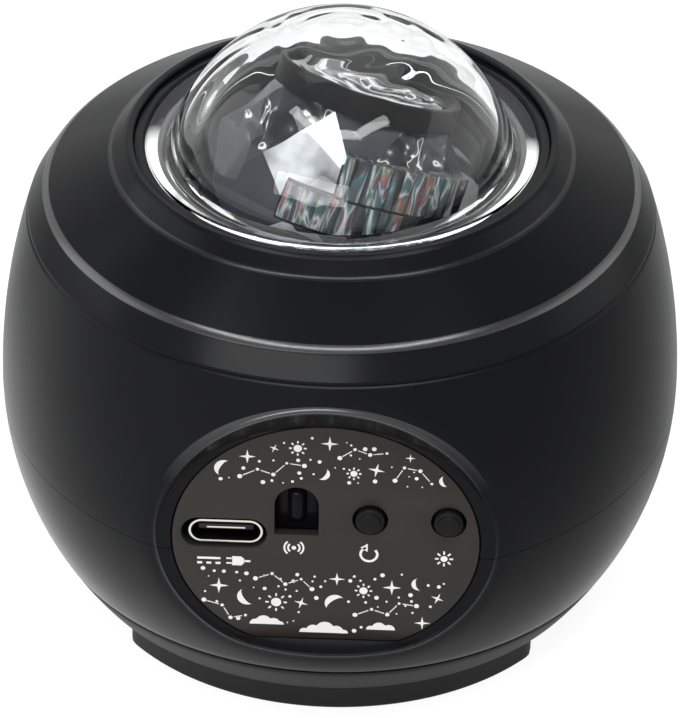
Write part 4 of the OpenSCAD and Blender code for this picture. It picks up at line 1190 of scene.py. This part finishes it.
GLASS = clear("dome_clear", (0.97, 0.98, 0.985), index=1.28)
CRYSTAL_CLEAR = clear("crystal_clear", (0.93, 0.95, 0.96), waviness=0.015, wave=2)
LENS = clear("lens_clear", (0.97, 0.98, 0.98))
STEEL = metal("steel", (0.62, 0.62, 0.63), 0.28)
NICKEL = metal("nickel", (0.74, 0.72, 0.68), 0.2)
NICKEL_PAINTED_SHADE = metal("nickel_painted_shade", (0.05, 0.048, 0.045), 0.3)
ALUMINIUM = metal("aluminium", (0.72, 0.73, 0.74), 0.35)
BRASS = metal("brass", (0.78, 0.58, 0.28), 0.26)


# ---- The dressed part ----

add_camera()
add_studio()

add_shell("upper_shell_shape", "upper_shell", SATIN, keep_above=True)
add_shell("lower_shell_shape", "lower_shell", SATIN, keep_above=False)
add_foot(FOOT)
add_panel(BRONZE)
add_print(INK)
add_contact_bar(NICKEL)

add_dome(GLASS, painted_seat_glare())
# the crystal's facets: clear ones, painted reflections bright and grey, painted shade, and painted glints
add_crystal([CRYSTAL_CLEAR, painted_glare_facets("crystal_painted_glare", (0.22, 0.23, 0.24), (0.62, 0.62, 0.61)),
             painted_glare_facets("crystal_painted_grey_glare", (0.06, 0.065, 0.07), (0.30, 0.31, 0.32)),
             painted_dark_facets(), painted_glint_facets()])
add_tiers(painted_rainbow_ribs())
refined("drum_cap", CAP, 0.15)
add_ripple_disc(LENS)
refined("dome_retainer", SATIN, 0.1)
add_socket(NICKEL, NICKEL_PAINTED_SHADE)
refined("usb_tongue", INNER, 0.08)
refined("ir_receiver", RECEIVER, 0.15, segments=3)
for name in BUTTONS:
    refined(name, BUTTON, 0.18, segments=3)

NODE_LOOKS = [
    (STEEL, ["base_screws", "shell_screws", "deck_screws", "heatsink_screws", "motor_screws",
             "board_screws", "rotor_clip", "motor_can", "motor_shaft", "ir_pins"]),
    (ALUMINIUM, ["led_heatsink", "board_capacitors"]),
    (BRASS, ["motor_gearbox", "motor_terminals"]),
    (INNER, ["optics_deck", "rotor_gear"]),
    (RUBBER, ["foot_pads"]),
    (LENS, ["led_lens"]),
    (moulded("board_white", (0.72, 0.72, 0.70), 0.4, 0.3, 0.003, 0.15, 0.4), ["led_board"]),
    (moulded("led_yellow", (0.75, 0.52, 0.06), 0.3, 0.2, 0.003, 0.2, 0.5), ["led_chips"]),
    (moulded("gear_white", (0.72, 0.71, 0.66), 0.4, 0.2, 0.004, 0.2, 0.4), ["motor_pinion"]),
    (moulded("board_green", (0.005, 0.032, 0.014), 0.4, 0.4, 0.004, 0.3, 0.5), ["main_board"]),
    (moulded("chip_black", (0.012, 0.012, 0.013), 0.4, 0.12, 0.003, 0.2), ["control_chips"]),
    (moulded("switch_black", (0.012, 0.012, 0.012), 0.35, 0.15, 0.003, 0.2),
     ["motor_switch", "mode_switch"]),
    (moulded("plug_white", (0.74, 0.73, 0.68), 0.42, 0.2, 0.003, 0.2),
     ["motor_connector", "led_connector"]),
    (moulded("lead_red", (0.45, 0.02, 0.02), 0.4, 0.3, 0.004, 0.2), ["motor_leads"]),
    (moulded("lead_white", (0.70, 0.69, 0.65), 0.4, 0.3, 0.004, 0.2), ["led_leads"]),
]
for look, nodes in NODE_LOOKS:
    for node in nodes:
        dress(frame["nodes"][node], look)
